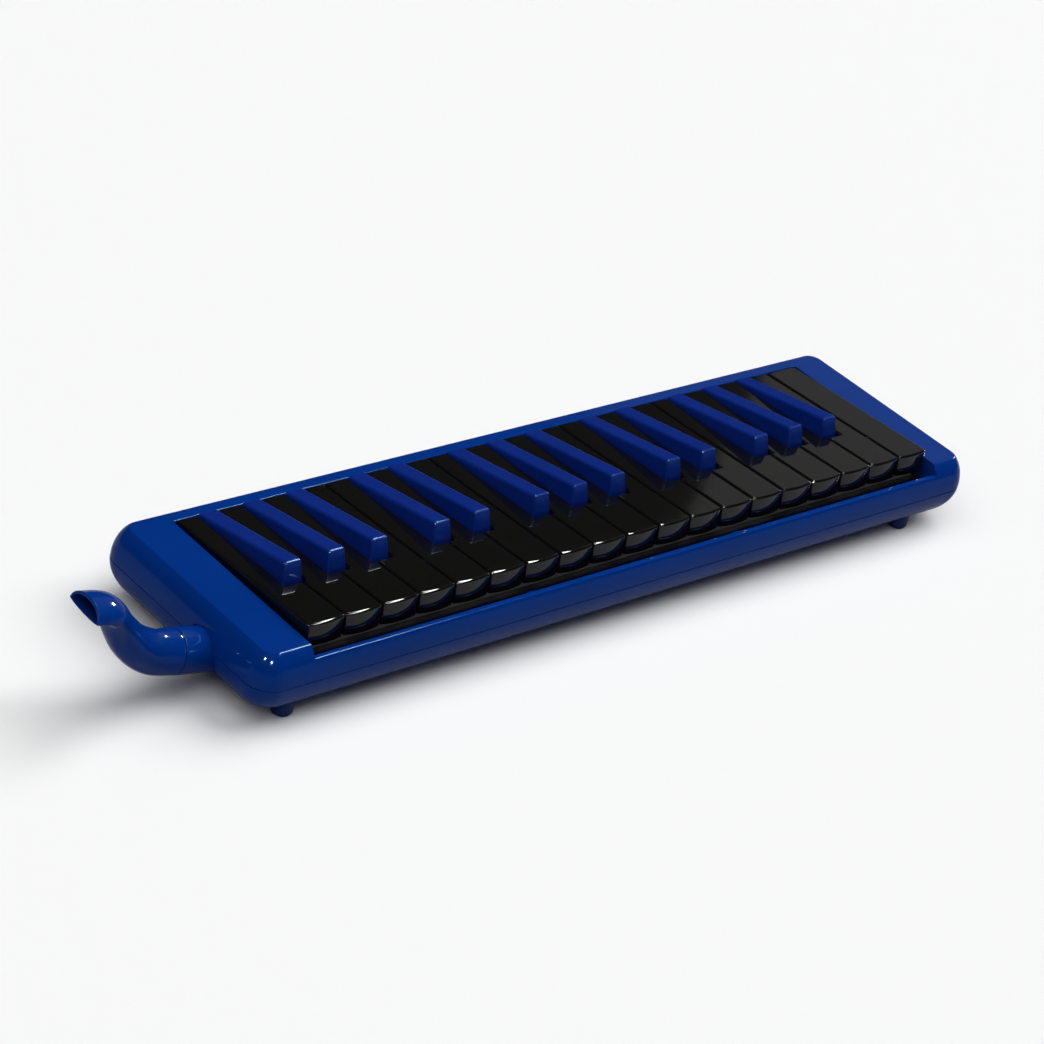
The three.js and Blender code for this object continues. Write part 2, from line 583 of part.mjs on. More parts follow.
/** Open tray below the valve plate that takes the player's breath. */
function windChest() {
  const { x0, x1, y0, y1, bottomZ, topZ, wall } = CHEST;
  const tray = block(x0, x1, y0, y1, bottomZ, topZ)
    .subtract(block(x0 + wall, x1 - wall, y0 + wall, y1 - wall, bottomZ + wall, topZ + OVERRUN));
  const { inset, width } = CHEST_LEDGE;
  const ledgeTop = REED_PLATE.topZ - REED_PLATE.thick - GAP;
  const ledges = [REED_PLATE.y0 + inset, REED_PLATE.y1 - inset - width].map((y) =>
    block(x0 + BITE, x1 - BITE, y, y + width, bottomZ + BITE, ledgeTop));
  const windows = CHEST_LEDGE.windows.map((x) =>
    block(x, x + CHEST_LEDGE.windowWidth, REED_PLATE.y0, REED_PLATE.y1, bottomZ + wall, REED_PLATE.topZ));
  const inlet = barX(x0 - OVERRUN, x0 + wall + OVERRUN, SOCKET.y, PIPE.z, PIPE.bore);
  const drain = barX(x1 - wall - OVERRUN, x1 + OVERRUN, DRAIN.y, DRAIN.z, DRAIN_PORT);
  return cutAll(tray.add(cutAll(joinAll(ledges), windows)), [inlet, drain]);
}

/** Flat rubber frame between the chest's rim and the valve plate. */
function chestGasket() {
  const { x0, x1, y0, y1, topZ, wall } = CHEST;
  const z0 = topZ + GAP;
  const z1 = PLATE.bottomZ - GAP;
  return block(x0, x1, y0, y1, z0, z1)
    .subtract(block(x0 + wall, x1 - wall, y0 + wall, y1 - wall, z0 - OVERRUN, z1 + OVERRUN));
}

const downStopFelt = () =>
  block(0, KEYBOARD_WIDTH, DOWN_FELT.y0, DOWN_FELT.y1, PLATE.topZ + GAP, DOWN_FELT.topZ);

const upStopFelt = () =>
  block(0, KEYBOARD_WIDTH, UP_FELT.y0, UP_FELT.y1, PLATE.topZ + GAP, ARM.bottomZ - GAP);

// ---------------------------------------------------------------- air inlet

/** Socket tube, held between the casing halves, with the pipe that leads on to the chest. */
function inletSocket() {
  const outside = bar(onSocketAxis(0), onSocketAxis(-SOCKET_TUBE.length), SOCKET_TUBE.radius, 24);
  const pipe = barX(PIPE.x0, PIPE.x1, SOCKET.y, PIPE.z, PIPE.radius, 12);
  const bore = bar(onSocketAxis(OVERRUN), onSocketAxis(-SOCKET_TUBE.boreDepth), SOCKET_TUBE.bore, 20);
  const pipeBore = barX(PIPE.boreX0, PIPE.x1 + OVERRUN, SOCKET.y, PIPE.z, PIPE.bore, 12);
  return cutAll(outside.add(pipe), [bore, pipeBore]);
}

/** Section's reach at t along the mouthpiece, up, down and sideways, with share of the wall taken off. */
function mouthReach(t, share) {
  const curve = new THREE.CatmullRomCurve3(
    MOUTHPIECE.map((s) => new THREE.Vector3(s.top, s.bottom, s.wide)), false, "catmullrom");
  const reach = curve.getPoint(t);
  const thinned = Math.min(1, t / MOUTH_WALL.thinFrom);
  const wall = (end) => share * (MOUTH_WALL.ring + (end - MOUTH_WALL.ring) * thinned);
  return {
    top: reach.x - wall(MOUTH_WALL.roof),
    bottom: reach.y - wall(MOUTH_WALL.floor),
    wide: reach.z - wall(MOUTH_WALL.side),
  };
}

/** Rings across the mouthpiece's bent centre line, of its outside (share 0) or its airway (share 1). */
function mouthpieceRings(sides, share, overrun) {
  const centre = new THREE.CatmullRomCurve3(
    MOUTHPIECE.map((s) => new THREE.Vector3(s.x, 0, s.z)), false, "catmullrom");
  return Array.from({ length: MOUTH_RINGS + 1 }, (_, i) => {
    const t = i / MOUTH_RINGS;
    const along = i === 0 ? SOCKET_AXIS.clone() : centre.getTangent(t);
    const across = new THREE.Vector3(along.z, 0, -along.x);
    const middle = centre.getPoint(t).add(new THREE.Vector3(SOCKET.x, SOCKET.y, SOCKET.z));
    if (i === 0) middle.addScaledVector(along, -overrun);
    if (i === MOUTH_RINGS) middle.addScaledVector(along, overrun);
    const reach = mouthReach(t, share);
    return Array.from({ length: sides }, (_, k) => {
      const angle = (k / sides) * 2 * Math.PI;
      const rise = Math.cos(angle) * (Math.cos(angle) > 0 ? reach.top : reach.bottom);
      return middle.clone()
        .addScaledVector(across, rise)
        .add(new THREE.Vector3(0, reach.wide * Math.sin(angle), 0));
    });
  });
}

/** Turns a solid about the socket's axis. */
function turnOnSocket(solid, angle) {
  const turn = new THREE.Matrix4().makeTranslation(SOCKET.x, SOCKET.y, SOCKET.z)
    .multiply(new THREE.Matrix4().makeRotationAxis(SOCKET_AXIS, angle))
    .multiply(new THREE.Matrix4().makeTranslation(-SOCKET.x, -SOCKET.y, -SOCKET.z));
  return solid.transform(turn.elements);
}

/** Bent mouthpiece with its airway and the spigot that plugs into the socket. */
function mouthpiece() {
  const outside = loft(mouthpieceRings(20, 0, 0));
  const airway = loft(mouthpieceRings(16, 1, OVERRUN));
  const spigot = bar(onSocketAxis(GAP + OVERRUN), onSocketAxis(-SPIGOT.length), SPIGOT.radius, 20);
  const bore = bar(onSocketAxis(GAP + 2 * OVERRUN), onSocketAxis(-SPIGOT.length - OVERRUN), SPIGOT.bore, 12);
  const shoulderGap = SOCKET_AXIS.clone().multiplyScalar(GAP).toArray();
  const whole = outside.translate(shoulderGap).add(spigot).subtract(airway.add(bore));
  return turnOnSocket(whole, MOUTH_TURN);
}

// ---------------------------------------------------------------- drain valve

const SEAL_FACE_X = CHEST.x1 - CHEST.wall - GAP;

/** Button head outside, with the stem that carries the seal inside the chest. */
function drainButton() {
  const head = barX(DRAIN_BUTTON.x0, DRAIN_BUTTON.x1, DRAIN.y, DRAIN.z, DRAIN_BUTTON.radius);
  const stem = barX(
    SEAL_FACE_X - DRAIN_SEAL.thick, DRAIN_BUTTON.x0 + BITE, DRAIN.y, DRAIN.z, DRAIN_BUTTON.stem, 10);
  return head.add(stem);
}

/** Rubber ring that closes the drain port from inside the chest. */
function drainSeal() {
  const x0 = SEAL_FACE_X - DRAIN_SEAL.thick;
  const hole = barX(
    x0 - OVERRUN, SEAL_FACE_X + OVERRUN, DRAIN.y, DRAIN.z, DRAIN_BUTTON.stem + GAP, 10);
  return barX(x0, SEAL_FACE_X, DRAIN.y, DRAIN.z, DRAIN_SEAL.radius).subtract(hole);
}

/** Helix along X. */
class CoilCurve extends THREE.Curve {
  constructor(x0, x1, radius, turns) {
    super();
    Object.assign(this, { x0, x1, radius, turns });
  }

  getPoint(t, target = new THREE.Vector3()) {
    const angle = t * this.turns * 2 * Math.PI;
    return target.set(
      this.x0 + (this.x1 - this.x0) * t,
      DRAIN.y + this.radius * Math.cos(angle), DRAIN.z + this.radius * Math.sin(angle));
  }
}

/** Coil between the chest and the button's head, drawn as long as it is with the button pushed in. */
function drainSpring() {
  const { radius, wire, turns, stepsPerTurn } = DRAIN_SPRING;
  const x0 = CHEST.x1 + GAP + wire;
  const x1 = DRAIN_BUTTON.x0 - DRAIN_TRAVEL - GAP - wire;
  const section = shapeOf([[wire, 0], [0, wire], [-wire, 0], [0, -wire]]);
  return solidOf(new THREE.ExtrudeGeometry(
    section, { steps: turns * stepsPerTurn, extrudePath: new CoilCurve(x0, x1, radius, turns) }));
}

// ---------------------------------------------------------------- assembly

const melodica = new THREE.Group();

function place(name, solid, look) {
  const mesh = new THREE.Mesh(geometryOf(solid), look);
  mesh.name = name;
  melodica.add(mesh);
}

place("upper_casing", upperCasing(), BLUE);
place("lower_casing", lowerCasing(), BLUE);
for (const key of KEYS) place(key.name, key.solid, key.look);
place("hinge_rod", hingeRod(), STEEL);
place("spring_comb", springComb(), STEEL);
place("valve_plate", valvePlate(), INNER_BLACK);
place("reed_plate_bass", reedPlate(REED_PLATE.x0, REED_PLATE.split - GAP / 2), BRASS);
place("reed_plate_treble", reedPlate(REED_PLATE.split + GAP / 2, REED_PLATE.x1), BRASS);
place("wind_chest", windChest(), INNER_BLACK);
place("chest_gasket", chestGasket(), RUBBER);
place("down_stop_felt", downStopFelt(), FELT);
place("up_stop_felt", upStopFelt(), FELT);
place("inlet_socket", inletSocket(), BLUE);
place("mouthpiece", mouthpiece(), BLUE);
place("foot_front_left", foot(FEET.left, FEET.front), FOOT_BLUE);
place("foot_front_right", foot(FEET.right, FEET.front), FOOT_BLUE);
place("foot_back_left", foot(FEET.left, FEET.back), FOOT_BLUE);
place("foot_back_right", foot(FEET.right, FEET.back), FOOT_BLUE);
for (const spot of SCREW_PLACES) place(spot.name, screw(spot), STEEL);
place("drain_button", drainButton(), FOOT_BLUE);
place("drain_seal", drainSeal(), RUBBER);
place("drain_spring", drainSpring(), STEEL);

const bounds = new THREE.Box3().setFromObject(melodica);
const centre = bounds.getCenter(new THREE.Vector3());
melodica.position.set(-centre.x, -centre.y, -bounds.min.z);
melodica.updateMatrixWorld(true);

export default melodica;
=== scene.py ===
"""Looks of the melodica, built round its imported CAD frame.

Shapes are worked out in millimetres from one datum, the same as the CAD's: X = 0 at the lowest natural's
left side, Y = 0 at the front edge of the casing's flat top, Z = 0 on the flat top. at() turns a point of
the datum into the frame's metres.
"""
import math

import bmesh
import bpy
from mathutils import Matrix, Quaternion, Vector

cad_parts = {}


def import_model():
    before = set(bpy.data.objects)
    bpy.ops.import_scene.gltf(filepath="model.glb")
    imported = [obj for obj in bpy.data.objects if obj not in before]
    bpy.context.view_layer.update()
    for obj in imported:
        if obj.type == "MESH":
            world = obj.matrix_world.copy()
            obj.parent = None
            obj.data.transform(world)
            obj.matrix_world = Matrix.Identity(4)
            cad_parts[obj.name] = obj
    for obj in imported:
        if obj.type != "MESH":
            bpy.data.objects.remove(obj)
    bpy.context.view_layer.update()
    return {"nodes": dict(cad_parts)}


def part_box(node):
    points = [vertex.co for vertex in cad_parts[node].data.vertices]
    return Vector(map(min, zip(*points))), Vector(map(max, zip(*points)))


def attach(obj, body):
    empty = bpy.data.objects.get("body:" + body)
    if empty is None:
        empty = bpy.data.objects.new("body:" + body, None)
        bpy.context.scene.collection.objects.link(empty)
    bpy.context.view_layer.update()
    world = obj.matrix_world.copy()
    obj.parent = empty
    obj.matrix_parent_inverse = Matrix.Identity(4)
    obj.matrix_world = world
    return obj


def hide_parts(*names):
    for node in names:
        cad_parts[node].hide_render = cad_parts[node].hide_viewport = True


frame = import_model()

MM = 0.001
# Two places closer than this, in millimetres, count as the same when edges are picked for rounding.
NEAR = 0.01

# The keyboard's width follows from the naturals' pitch and number.
PITCH = 19.5
NATURALS = 19
KEYBOARD_X = PITCH * NATURALS

# Casing, in millimetres from the datum.
TOP = {"x0": -22.0, "x1": 390.0, "y0": 0.0, "y1": 100.7, "corner": 5.5}
WALL = 2.4
# At the seam the sides stand out this far past the flat top, and they run this far up their ellipse to it.
BULGE = 5.8
CREASE = math.radians(62)
SEAM_Z = -14.6
SEAM_GAP = 0.3
# From the seam down to the flat bottom the sides tuck in by this much.
BOTTOM_Z = -29.3
BOTTOM_TUCK = 11.3
# No corner of the upper half's outline, and none of the lower half's outside, gets tighter than these.
UPPER_CORNER = 1.0
LOWER_CORNER = 11.3
OPENING = {"x0": -1.2, "x1": KEYBOARD_X + 1.2, "y0": -1.15, "y1": 95.0}
OPENING_CORNER = 0.8
STRIP_Z = -4.8
STRIP_ROUND = 0.6
EDGE_ROUND = 0.35
SEAM_ROUND = 0.2
# Points less than this inside the casing's widest outline still count as its outer edge.
SEAM_BAND = 0.5
# An edge at the strip's ends is rounded only if it reaches this far above the strip.
STEP_START = 0.3
# Walls that hang down from the end plates beside the keys.
SKIRT = {"thick": 2.0, "bottom": -11.0}
CORNER_STEPS = 14
PROFILE_STEPS = 14
# Cutting tools run this far past what they cut, and joined pieces bite this far into each other.
OVERRUN = 1.0
BITE = 0.5

# Feet and screws.
FOOT = {"radius": 4.7, "bottom": -35.5, "flat": 2.7, "top": -26.3}
FEET_X = {"left": -5.2, "right": 364.6}
FEET_Y = {"front": 5.0, "back": 95.7}
SCREW = {"shank": 1.4, "head": 2.8, "head_bottom": -28.4, "head_top": -26.9, "top": -4.0, "short_top": -11.4}
# The short screws' heads sit this much deeper, because the curved bottom rises towards the casing's front.
SHORT_HEAD_LIFT = 2.0
# A screw head's outer face, from its flat middle to its rim: height, and distance in from the rim.
SCREW_PAN = ((0.0, 0.7), (0.15, 0.25), (0.5, 0.0))
SCREW_TIP = {"length": 0.6, "radius": 0.5}
SCREW_SLOT = {"half": 0.35, "reach": 1.7, "depth": 0.8}
BOSS = {"lower": 4.1, "upper": 3.6, "hole": 1.7, "counterbore": 3.2, "short_top": -10.8, "web": 1.5}
BOSS_SIDES = 24
HOLE_SIDES = 16
# Each screw's X and Y, and whether it is one of the short ones under the front strip.
SCREW_PLACES = {
    "screw_front_left": (-15.8, 8.0, False),
    "screw_back_left": (-15.8, 92.7, False),
    "screw_front_bass": (123.5, 2.4, True),
    "screw_front_treble": (247.0, 2.4, True),
    "screw_front_right": (386.0, 8.0, False),
    "screw_back_right": (386.0, 92.7, False),
}

# Keys.
KEY_GAP = 0.7
KEY_WALL = 1.6
KEY_SKIN = 2.2
KEY_BOTTOM = -4.8
KEY_HEEL_Z = -3.6
KEY_BACK_Y = 94.5
POCKET_BACK_Y = 92.5
NATURAL_FRONT = {"y": 4.6, "z": 5.2}
NATURAL_BACK_Z = 0.45
NATURAL_LIP = 2.4
NATURAL_LEAN = 0.9
NATURAL_BOW = 0.75
NATURAL_ROUND = 1.1
BOW_STEPS = 9
# The rounded corners of a natural's plan stop this many degrees short of square, where the bow takes over.
BOW_TURN = 5
NOTCH_Y = 33.8
NOTCH_HALF = 5.7
SHARP_FRONT = {"low_y": 35.6, "top_y": 38.2, "z": 11.5}
SHARP_BACK_Z = 0.9
SHARP_HALF = {"base": 5.1, "top": 4.25}
SHARP_ROUND = 1.15
# An edge whose ends are further apart in X than this runs across its key.
ACROSS = 1.0
# Each sharp's middle is this far from the crack to the right of the natural before it.
SHARP_SHIFT = {"F": -3.3, "G": 0.0, "A": 3.3, "C": -1.4, "D": 1.4}
NOTES = ("F", "G", "A", "B", "C", "D", "E")
FIRST_OCTAVE = 3
HINGE = {"y": 96.6, "z": -8.0, "room": 1.1}
ARM = {"half": 3.0, "front": 84.0, "back": 101.0, "bottom": -10.4, "top": -3.4, "tail": -6.4, "slope": 97.6}
STEM = {"half": 1.2, "y0": 50.0, "y1": 53.0}
PAD = {"half": 3.6, "y0": 46.0, "y1": 57.0, "top": -14.3, "thick": 2.0}

# Socket and mouthpiece.
SOCKET = {"x": -41.7, "y": 35.1, "z": -15.1, "rise": math.radians(11.3)}
SOCKET_TUBE = {"radius": 9.7, "length": 23.0, "bore": 6.2, "depth": 16.0, "edge": 0.5}
PIPE = {"z": -20.2, "radius": 5.6, "bore": 4.4, "x0": -24.0, "x1": -11.3, "bore_x0": -28.0}
SPIGOT = {"radius": 6.1, "bore": 4.4, "length": 15.0, "edge": 0.4}
SHOULDER_GAP = 0.3
# Stations along the mouthpiece: x and z from the socket's mouth, then the section's reach upwards,
# downwards and to each side. The section turns from round to a D with its flat side down.
MOUTHPIECE = (
    (0.0, 0.0, 9.7, 9.7, 9.7),
    (-10.8, 2.4, 10.0, 8.9, 8.7),
    (-21.4, 10.5, 8.1, 8.1, 8.8),
    (-29.7, 20.8, 6.8, 6.7, 8.0),
    (-37.4, 30.2, 6.5, 3.4, 9.6),
    (-48.8, 33.5, 6.3, 1.0, 9.9),
)
MOUTH_TURN = math.radians(-3.4)
MOUTH_WALL = {"ring": 5.3, "roof": 1.45, "floor": 0.8, "side": 1.3, "thin_from": 0.62}
MOUTH_LIP = 0.5
# Shares of the mouthpiece's length: where it leaves the round shoulder, how far the socket's direction
# still shows in it, how much the lip's rounding takes, and the step over which its direction is measured.
MOUTH_START = 0.02
SOCKET_BLEND = 0.08
LIP_SHARE = 0.01
DIRECTION_STEP = 0.004
MOUTH_RINGS = 66
TUBE_SIDES = 56

# Drain valve.
DRAIN = {"y": 81.6, "z": -20.4, "radius": 4.4, "x0": 388.2, "x1": 397.4, "stem": 1.5, "stem_x0": 378.2}
DRAIN_BEND = 0.7
# The dish in the button's face: depth, and radius there.
DRAIN_DISH = ((0.15, 3.0), (0.45, 2.2), (0.6, 0.3))

# Camera: it looks at a point near the middle, from the left and above, and is rolled. Angles in degrees.
CAMERA = {
    "aim": (164.70, 56.61, -17.03), "distance": 1438.0, "azimuth": -48.07, "elevation": 30.52,
    "roll": 14.22, "lens": 112.55,
}

# Datum in the frame, from the upper casing's box.
casing_low, casing_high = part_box("upper_casing")
DATUM = Vector((
    casing_low.x + (BULGE - TOP["x0"]) * MM,
    casing_low.y + (BULGE - TOP["y0"]) * MM,
    casing_high.z,
))


def at(x, y, z):
    """Point of the datum, in millimetres, as a place in the frame, in metres."""
    return DATUM + Vector((x, y, z)) * MM


# ---------------------------------------------------------------- meshes


def mesh_object(name, points, faces):
    """Object with a mesh of these points, in datum millimetres, with its faces turned outwards."""
    mesh = bpy.data.meshes.new(name)
    mesh.from_pydata([at(*p) for p in points], [], faces)
    work = bmesh.new()
    work.from_mesh(mesh)
    bmesh.ops.recalc_face_normals(work, faces=work.faces)
    work.to_mesh(mesh)
    work.free()
    obj = bpy.data.objects.new(name, mesh)
    bpy.context.scene.collection.objects.link(obj)
    return obj


def settle(obj):
    """Applies every modifier of obj to its mesh."""
    graph = bpy.context.evaluated_depsgraph_get()
    mesh = bpy.data.meshes.new_from_object(obj.evaluated_get(graph))
    obj.modifiers.clear()
    obj.data = mesh


def combine(obj, tools, operation):
    """Joins the tools to obj, cuts them from it or keeps what lies inside them, and removes them."""
    for tool in tools:
        step = obj.modifiers.new("Boolean", "BOOLEAN")
        step.operation = operation
        step.solver = "EXACT"
        step.object = tool
    settle(obj)
    for tool in tools:
        bpy.data.objects.remove(tool)
    return obj


def join_all(obj, *tools):
    """Joins every tool to obj."""
    return combine(obj, tools, "UNION")


def cut_all(obj, *tools):
    """Cuts every tool from obj."""
    return combine(obj, tools, "DIFFERENCE")


def keep_inside(obj, tool):
    """Keeps only the part of obj that lies inside the tool."""
    return combine(obj, [tool], "INTERSECT")


def smooth(obj, degrees=35):
    """Smooth shading, with edges sharper than this kept sharp, and long flat faces shaded flat."""
    for polygon in obj.data.polygons:
        polygon.use_smooth = True
    obj.data.set_sharp_from_angle(angle=math.radians(degrees))
    weighted = obj.modifiers.new("Weighted", "WEIGHTED_NORMAL")
    weighted.keep_sharp = True
    weighted.weight = 100
    settle(obj)


def round_edges(obj, radius, segments, wanted, clamp=True):
    """Rounds the edges of obj for which wanted(one end, other end) is true, with ends in millimetres."""
    work = bmesh.new()
    work.from_mesh(obj.data)
    picked = []
    for edge in work.edges:
        a, b = [(vertex.co - DATUM) / MM for vertex in edge.verts]
        if len(edge.link_faces) == 2 and wanted(a, b):
            picked.append(edge)
    bmesh.ops.bevel(
        work, geom=picked, offset=radius * MM, offset_type="OFFSET", segments=segments, profile=0.5,
        affect="EDGES", clamp_overlap=clamp)
    work.to_mesh(obj.data)
    work.free()


def loft(name, rings, closed=False):
    """Skin over rings with the same number of points each. A closed one joins the last ring to the first."""
    size = len(rings[0])
    points = [p for ring in rings for p in ring]
    count = len(rings) if closed else len(rings) - 1
    faces = []
    for r in range(count):
        low = r * size
        high = (r + 1) % len(rings) * size
        for i in range(size):
            j = (i + 1) % size
            faces.append((low + i, low + j, high + j, high + i))
    if not closed:
        faces.append(tuple(reversed(range(size))))
        faces.append(tuple(range(len(points) - size, len(points))))
    return mesh_object(name, points, faces)


def block(x0, x1, y0, y1, z0, z1):
    """Box between these limits."""
    ring = [(x0, y0), (x1, y0), (x1, y1), (x0, y1)]
    return loft("tool", [[(x, y, z) for x, y in ring] for z in (z0, z1)])


def prism_x(outline, x0, x1):
    """Outline in Y and Z, drawn along X."""
    return loft("tool", [[(x, y, z) for y, z in outline] for x in (x0, x1)])


def circle(middle, u, v, radius, sides):
    """Ring of points round middle, in the plane of the unit vectors u and v."""
    return [
        tuple(middle + radius * (math.cos(a) * u + math.sin(a) * v))
        for a in (2 * math.pi * i / sides for i in range(sides))
    ]


def turned(name, start, axis, profile, sides=48):
    """Solid of revolution: profile holds the distance along axis and the radius there."""
    axis = axis.normalized()
    u = axis.orthogonal().normalized()
    v = axis.cross(u)
    return loft(name, [circle(start + axis * d, u, v, r, sides) for d, r in profile])


def rod(start, end, radius, sides=32):
    """Plain round bar, used as a cutting or joining tool."""
    start, end = Vector(start), Vector(end)
    length = (end - start).length
    return turned("tool", start, end - start, [(0, radius), (length, radius)], sides)


def arc(centre, radius, start, end, steps):
    """Points of an arc in a plane, angles in degrees."""
    for i in range(steps + 1):
        a = math.radians(start + (end - start) * i / steps)
        yield centre[0] + radius * math.cos(a), centre[1] + radius * math.sin(a)


# ---------------------------------------------------------------- materials


def plastic(name, colour, roughness, tint=(1, 1, 1), drift=0.06, grain=0.02, shine=0.5):
    """Moulded plastic with faintly cloudy colour, handling marks in the gloss and a fine skin texture."""
    material = bpy.data.materials.new(name)
    material.use_nodes = True
    nodes, links = material.node_tree.nodes, material.node_tree.links
    shader = nodes["Principled BSDF"]
    place = nodes.new("ShaderNodeTexCoord")

    cloud = nodes.new("ShaderNodeTexNoise")
    cloud.inputs["Scale"].default_value = 26.0
    cloud.inputs["Detail"].default_value = 3.0
    ramp = nodes.new("ShaderNodeValToRGB")
    low, high = ramp.color_ramp.elements
    low.position, high.position = 0.3, 0.7
    low.color = (*[c * (1 - drift) for c in colour], 1)
    high.color = (*[min(1, c * (1 + drift)) for c in colour], 1)
    links.new(place.outputs["Object"], cloud.inputs["Vector"])
    links.new(cloud.outputs["Fac"], ramp.inputs["Fac"])
    links.new(ramp.outputs["Color"], shader.inputs["Base Color"])

    marks = nodes.new("ShaderNodeTexNoise")
    marks.inputs["Scale"].default_value = 70.0
    marks.inputs["Detail"].default_value = 5.0
    marks.inputs["Distortion"].default_value = 0.6
    gloss = nodes.new("ShaderNodeMapRange")
    gloss.inputs["From Min"].default_value = 0.35
    gloss.inputs["From Max"].default_value = 0.75
    gloss.inputs["To Min"].default_value = roughness * 0.8
    gloss.inputs["To Max"].default_value = roughness * 1.35
    links.new(place.outputs["Object"], marks.inputs["Vector"])
    links.new(marks.outputs["Fac"], gloss.inputs["Value"])
    links.new(gloss.outputs["Result"], shader.inputs["Roughness"])

    skin = nodes.new("ShaderNodeTexNoise")
    skin.inputs["Scale"].default_value = 900.0
    skin.inputs["Detail"].default_value = 2.0
    bump = nodes.new("ShaderNodeBump")
    bump.inputs["Strength"].default_value = grain
    bump.inputs["Distance"].default_value = 0.0002
    links.new(place.outputs["Object"], skin.inputs["Vector"])
    links.new(skin.outputs["Fac"], bump.inputs["Height"])
    links.new(bump.outputs["Normal"], shader.inputs["Normal"])

    shader.inputs["Specular Tint"].default_value = (*tint, 1)
    shader.inputs["Specular IOR Level"].default_value = shine
    return material


def metal(name, colour, roughness, stretch):
    """Drawn or rolled metal, with fine lines along X."""
    material = bpy.data.materials.new(name)
    material.use_nodes = True
    nodes, links = material.node_tree.nodes, material.node_tree.links
    shader = nodes["Principled BSDF"]
    place = nodes.new("ShaderNodeTexCoord")
    scale = nodes.new("ShaderNodeMapping")
    scale.inputs["Scale"].default_value = (1.0, stretch, stretch)
    lines = nodes.new("ShaderNodeTexNoise")
    lines.inputs["Scale"].default_value = 60.0
    lines.inputs["Detail"].default_value = 4.0
    gloss = nodes.new("ShaderNodeMapRange")
    gloss.inputs["To Min"].default_value = roughness * 0.7
    gloss.inputs["To Max"].default_value = roughness * 1.3
    ramp = nodes.new("ShaderNodeValToRGB")
    low, high = ramp.color_ramp.elements
    low.color = (*[c * 0.85 for c in colour], 1)
    high.color = (*[min(1, c * 1.08) for c in colour], 1)
    bump = nodes.new("ShaderNodeBump")
    bump.inputs["Strength"].default_value = 0.08
    bump.inputs["Distance"].default_value = 0.0001
    links.new(place.outputs["Object"], scale.inputs["Vector"])
    links.new(scale.outputs["Vector"], lines.inputs["Vector"])
    links.new(lines.outputs["Fac"], gloss.inputs["Value"])
    links.new(lines.outputs["Fac"], ramp.inputs["Fac"])
    links.new(lines.outputs["Fac"], bump.inputs["Height"])
    links.new(ramp.outputs["Color"], shader.inputs["Base Color"])
    links.new(gloss.outputs["Result"], shader.inputs["Roughness"])
    links.new(bump.outputs["Normal"], shader.inputs["Normal"])
    shader.inputs["Metallic"].default_value = 1.0
    return material


def felt(name, colour):
    """Pressed wool: a dense tangle of short fibres."""
    material = bpy.data.materials.new(name)
    material.use_nodes = True
    nodes, links = material.node_tree.nodes, material.node_tree.links
    shader = nodes["Principled BSDF"]
    place = nodes.new("ShaderNodeTexCoord")
    fibres = nodes.new("ShaderNodeTexNoise")
    fibres.inputs["Scale"].default_value = 1600.0
    fibres.inputs["Detail"].default_value = 6.0
    fibres.inputs["Distortion"].default_value = 2.0
    ramp = nodes.new("ShaderNodeValToRGB")
    low, high = ramp.color_ramp.elements
    low.color = (*[c * 0.5 for c in colour], 1)
    high.color = (*[min(1, c * 1.5) for c in colour], 1)
    bump = nodes.new("ShaderNodeBump")
    bump.inputs["Strength"].default_value = 0.6
    bump.inputs["Distance"].default_value = 0.0003
    links.new(place.outputs["Object"], fibres.inputs["Vector"])
    links.new(fibres.outputs["Fac"], ramp.inputs["Fac"])
    links.new(fibres.outputs["Fac"], bump.inputs["Height"])
    links.new(ramp.outputs["Color"], shader.inputs["Base Color"])
    links.new(bump.outputs["Normal"], shader.inputs["Normal"])
    shader.inputs["Roughness"].default_value = 0.95
    shader.inputs["Sheen Weight"].default_value = 0.4
    return material


BLUE_TINT = (0.4, 0.7, 1.0)
LOOKS = {
    "casing_blue": plastic("casing_blue", (0.0006, 0.03, 0.215), 0.09, BLUE_TINT, shine=0.2),
    "key_black": plastic("key_black", (0.0042, 0.0041, 0.0036), 0.05, drift=0.12),
    "sharp_blue": plastic("sharp_blue", (0.003, 0.021, 0.195), 0.15, BLUE_TINT, shine=0.24),
    "foot_navy": plastic("foot_navy", (0.008, 0.019, 0.11), 0.3, BLUE_TINT, grain=0.05, shine=0.3),
    "inner_black": plastic("inner_black", (0.012, 0.012, 0.013), 0.55, grain=0.15),
    "reed_brass": metal("reed_brass", (0.72, 0.5, 0.18), 0.3, 12.0),
    "steel": metal("steel", (0.6, 0.61, 0.63), 0.28, 30.0),
    "seal_rubber": plastic("seal_rubber", (0.014, 0.014, 0.015), 0.7, grain=0.25),
    "felt": felt("felt", (0.02, 0.02, 0.022)),
}


def finish_piece(obj, look, body, node):
    """Gives a new piece its material and slot, hangs it on the body it rides on and hides the CAD node it
    stands for.
    """
    obj.data.materials.clear()
    obj.data.materials.append(LOOKS[look])
    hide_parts(node)
    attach(obj, body)


# ---------------------------------------------------------------- casing


def casing_ring(outset, z, smallest_corner):
    """Rounded rectangle that stands outside the flat top's outline by outset, at height z."""
    radius = max(TOP["corner"] + outset, smallest_corner)
    corners = (
        (TOP["x1"] + outset - radius, TOP["y1"] + outset - radius, 0),
        (TOP["x0"] - outset + radius, TOP["y1"] + outset - radius, 90),
        (TOP["x0"] - outset + radius, TOP["y0"] - outset + radius, 180),
        (TOP["x1"] + outset - radius, TOP["y0"] - outset + radius, 270),
    )
    ring = []
    for x, y, start in corners:
        ring += [(u, v, z) for u, v in arc((x, y), radius, start, start + 90, CORNER_STEPS)]
    return ring


def side_reach(t):
    """How far the upper half's side stands out at t, from the flat top (CREASE) down to the seam (0)."""
    return BULGE * (math.cos(t) - math.cos(CREASE)) / (1 - math.cos(CREASE))


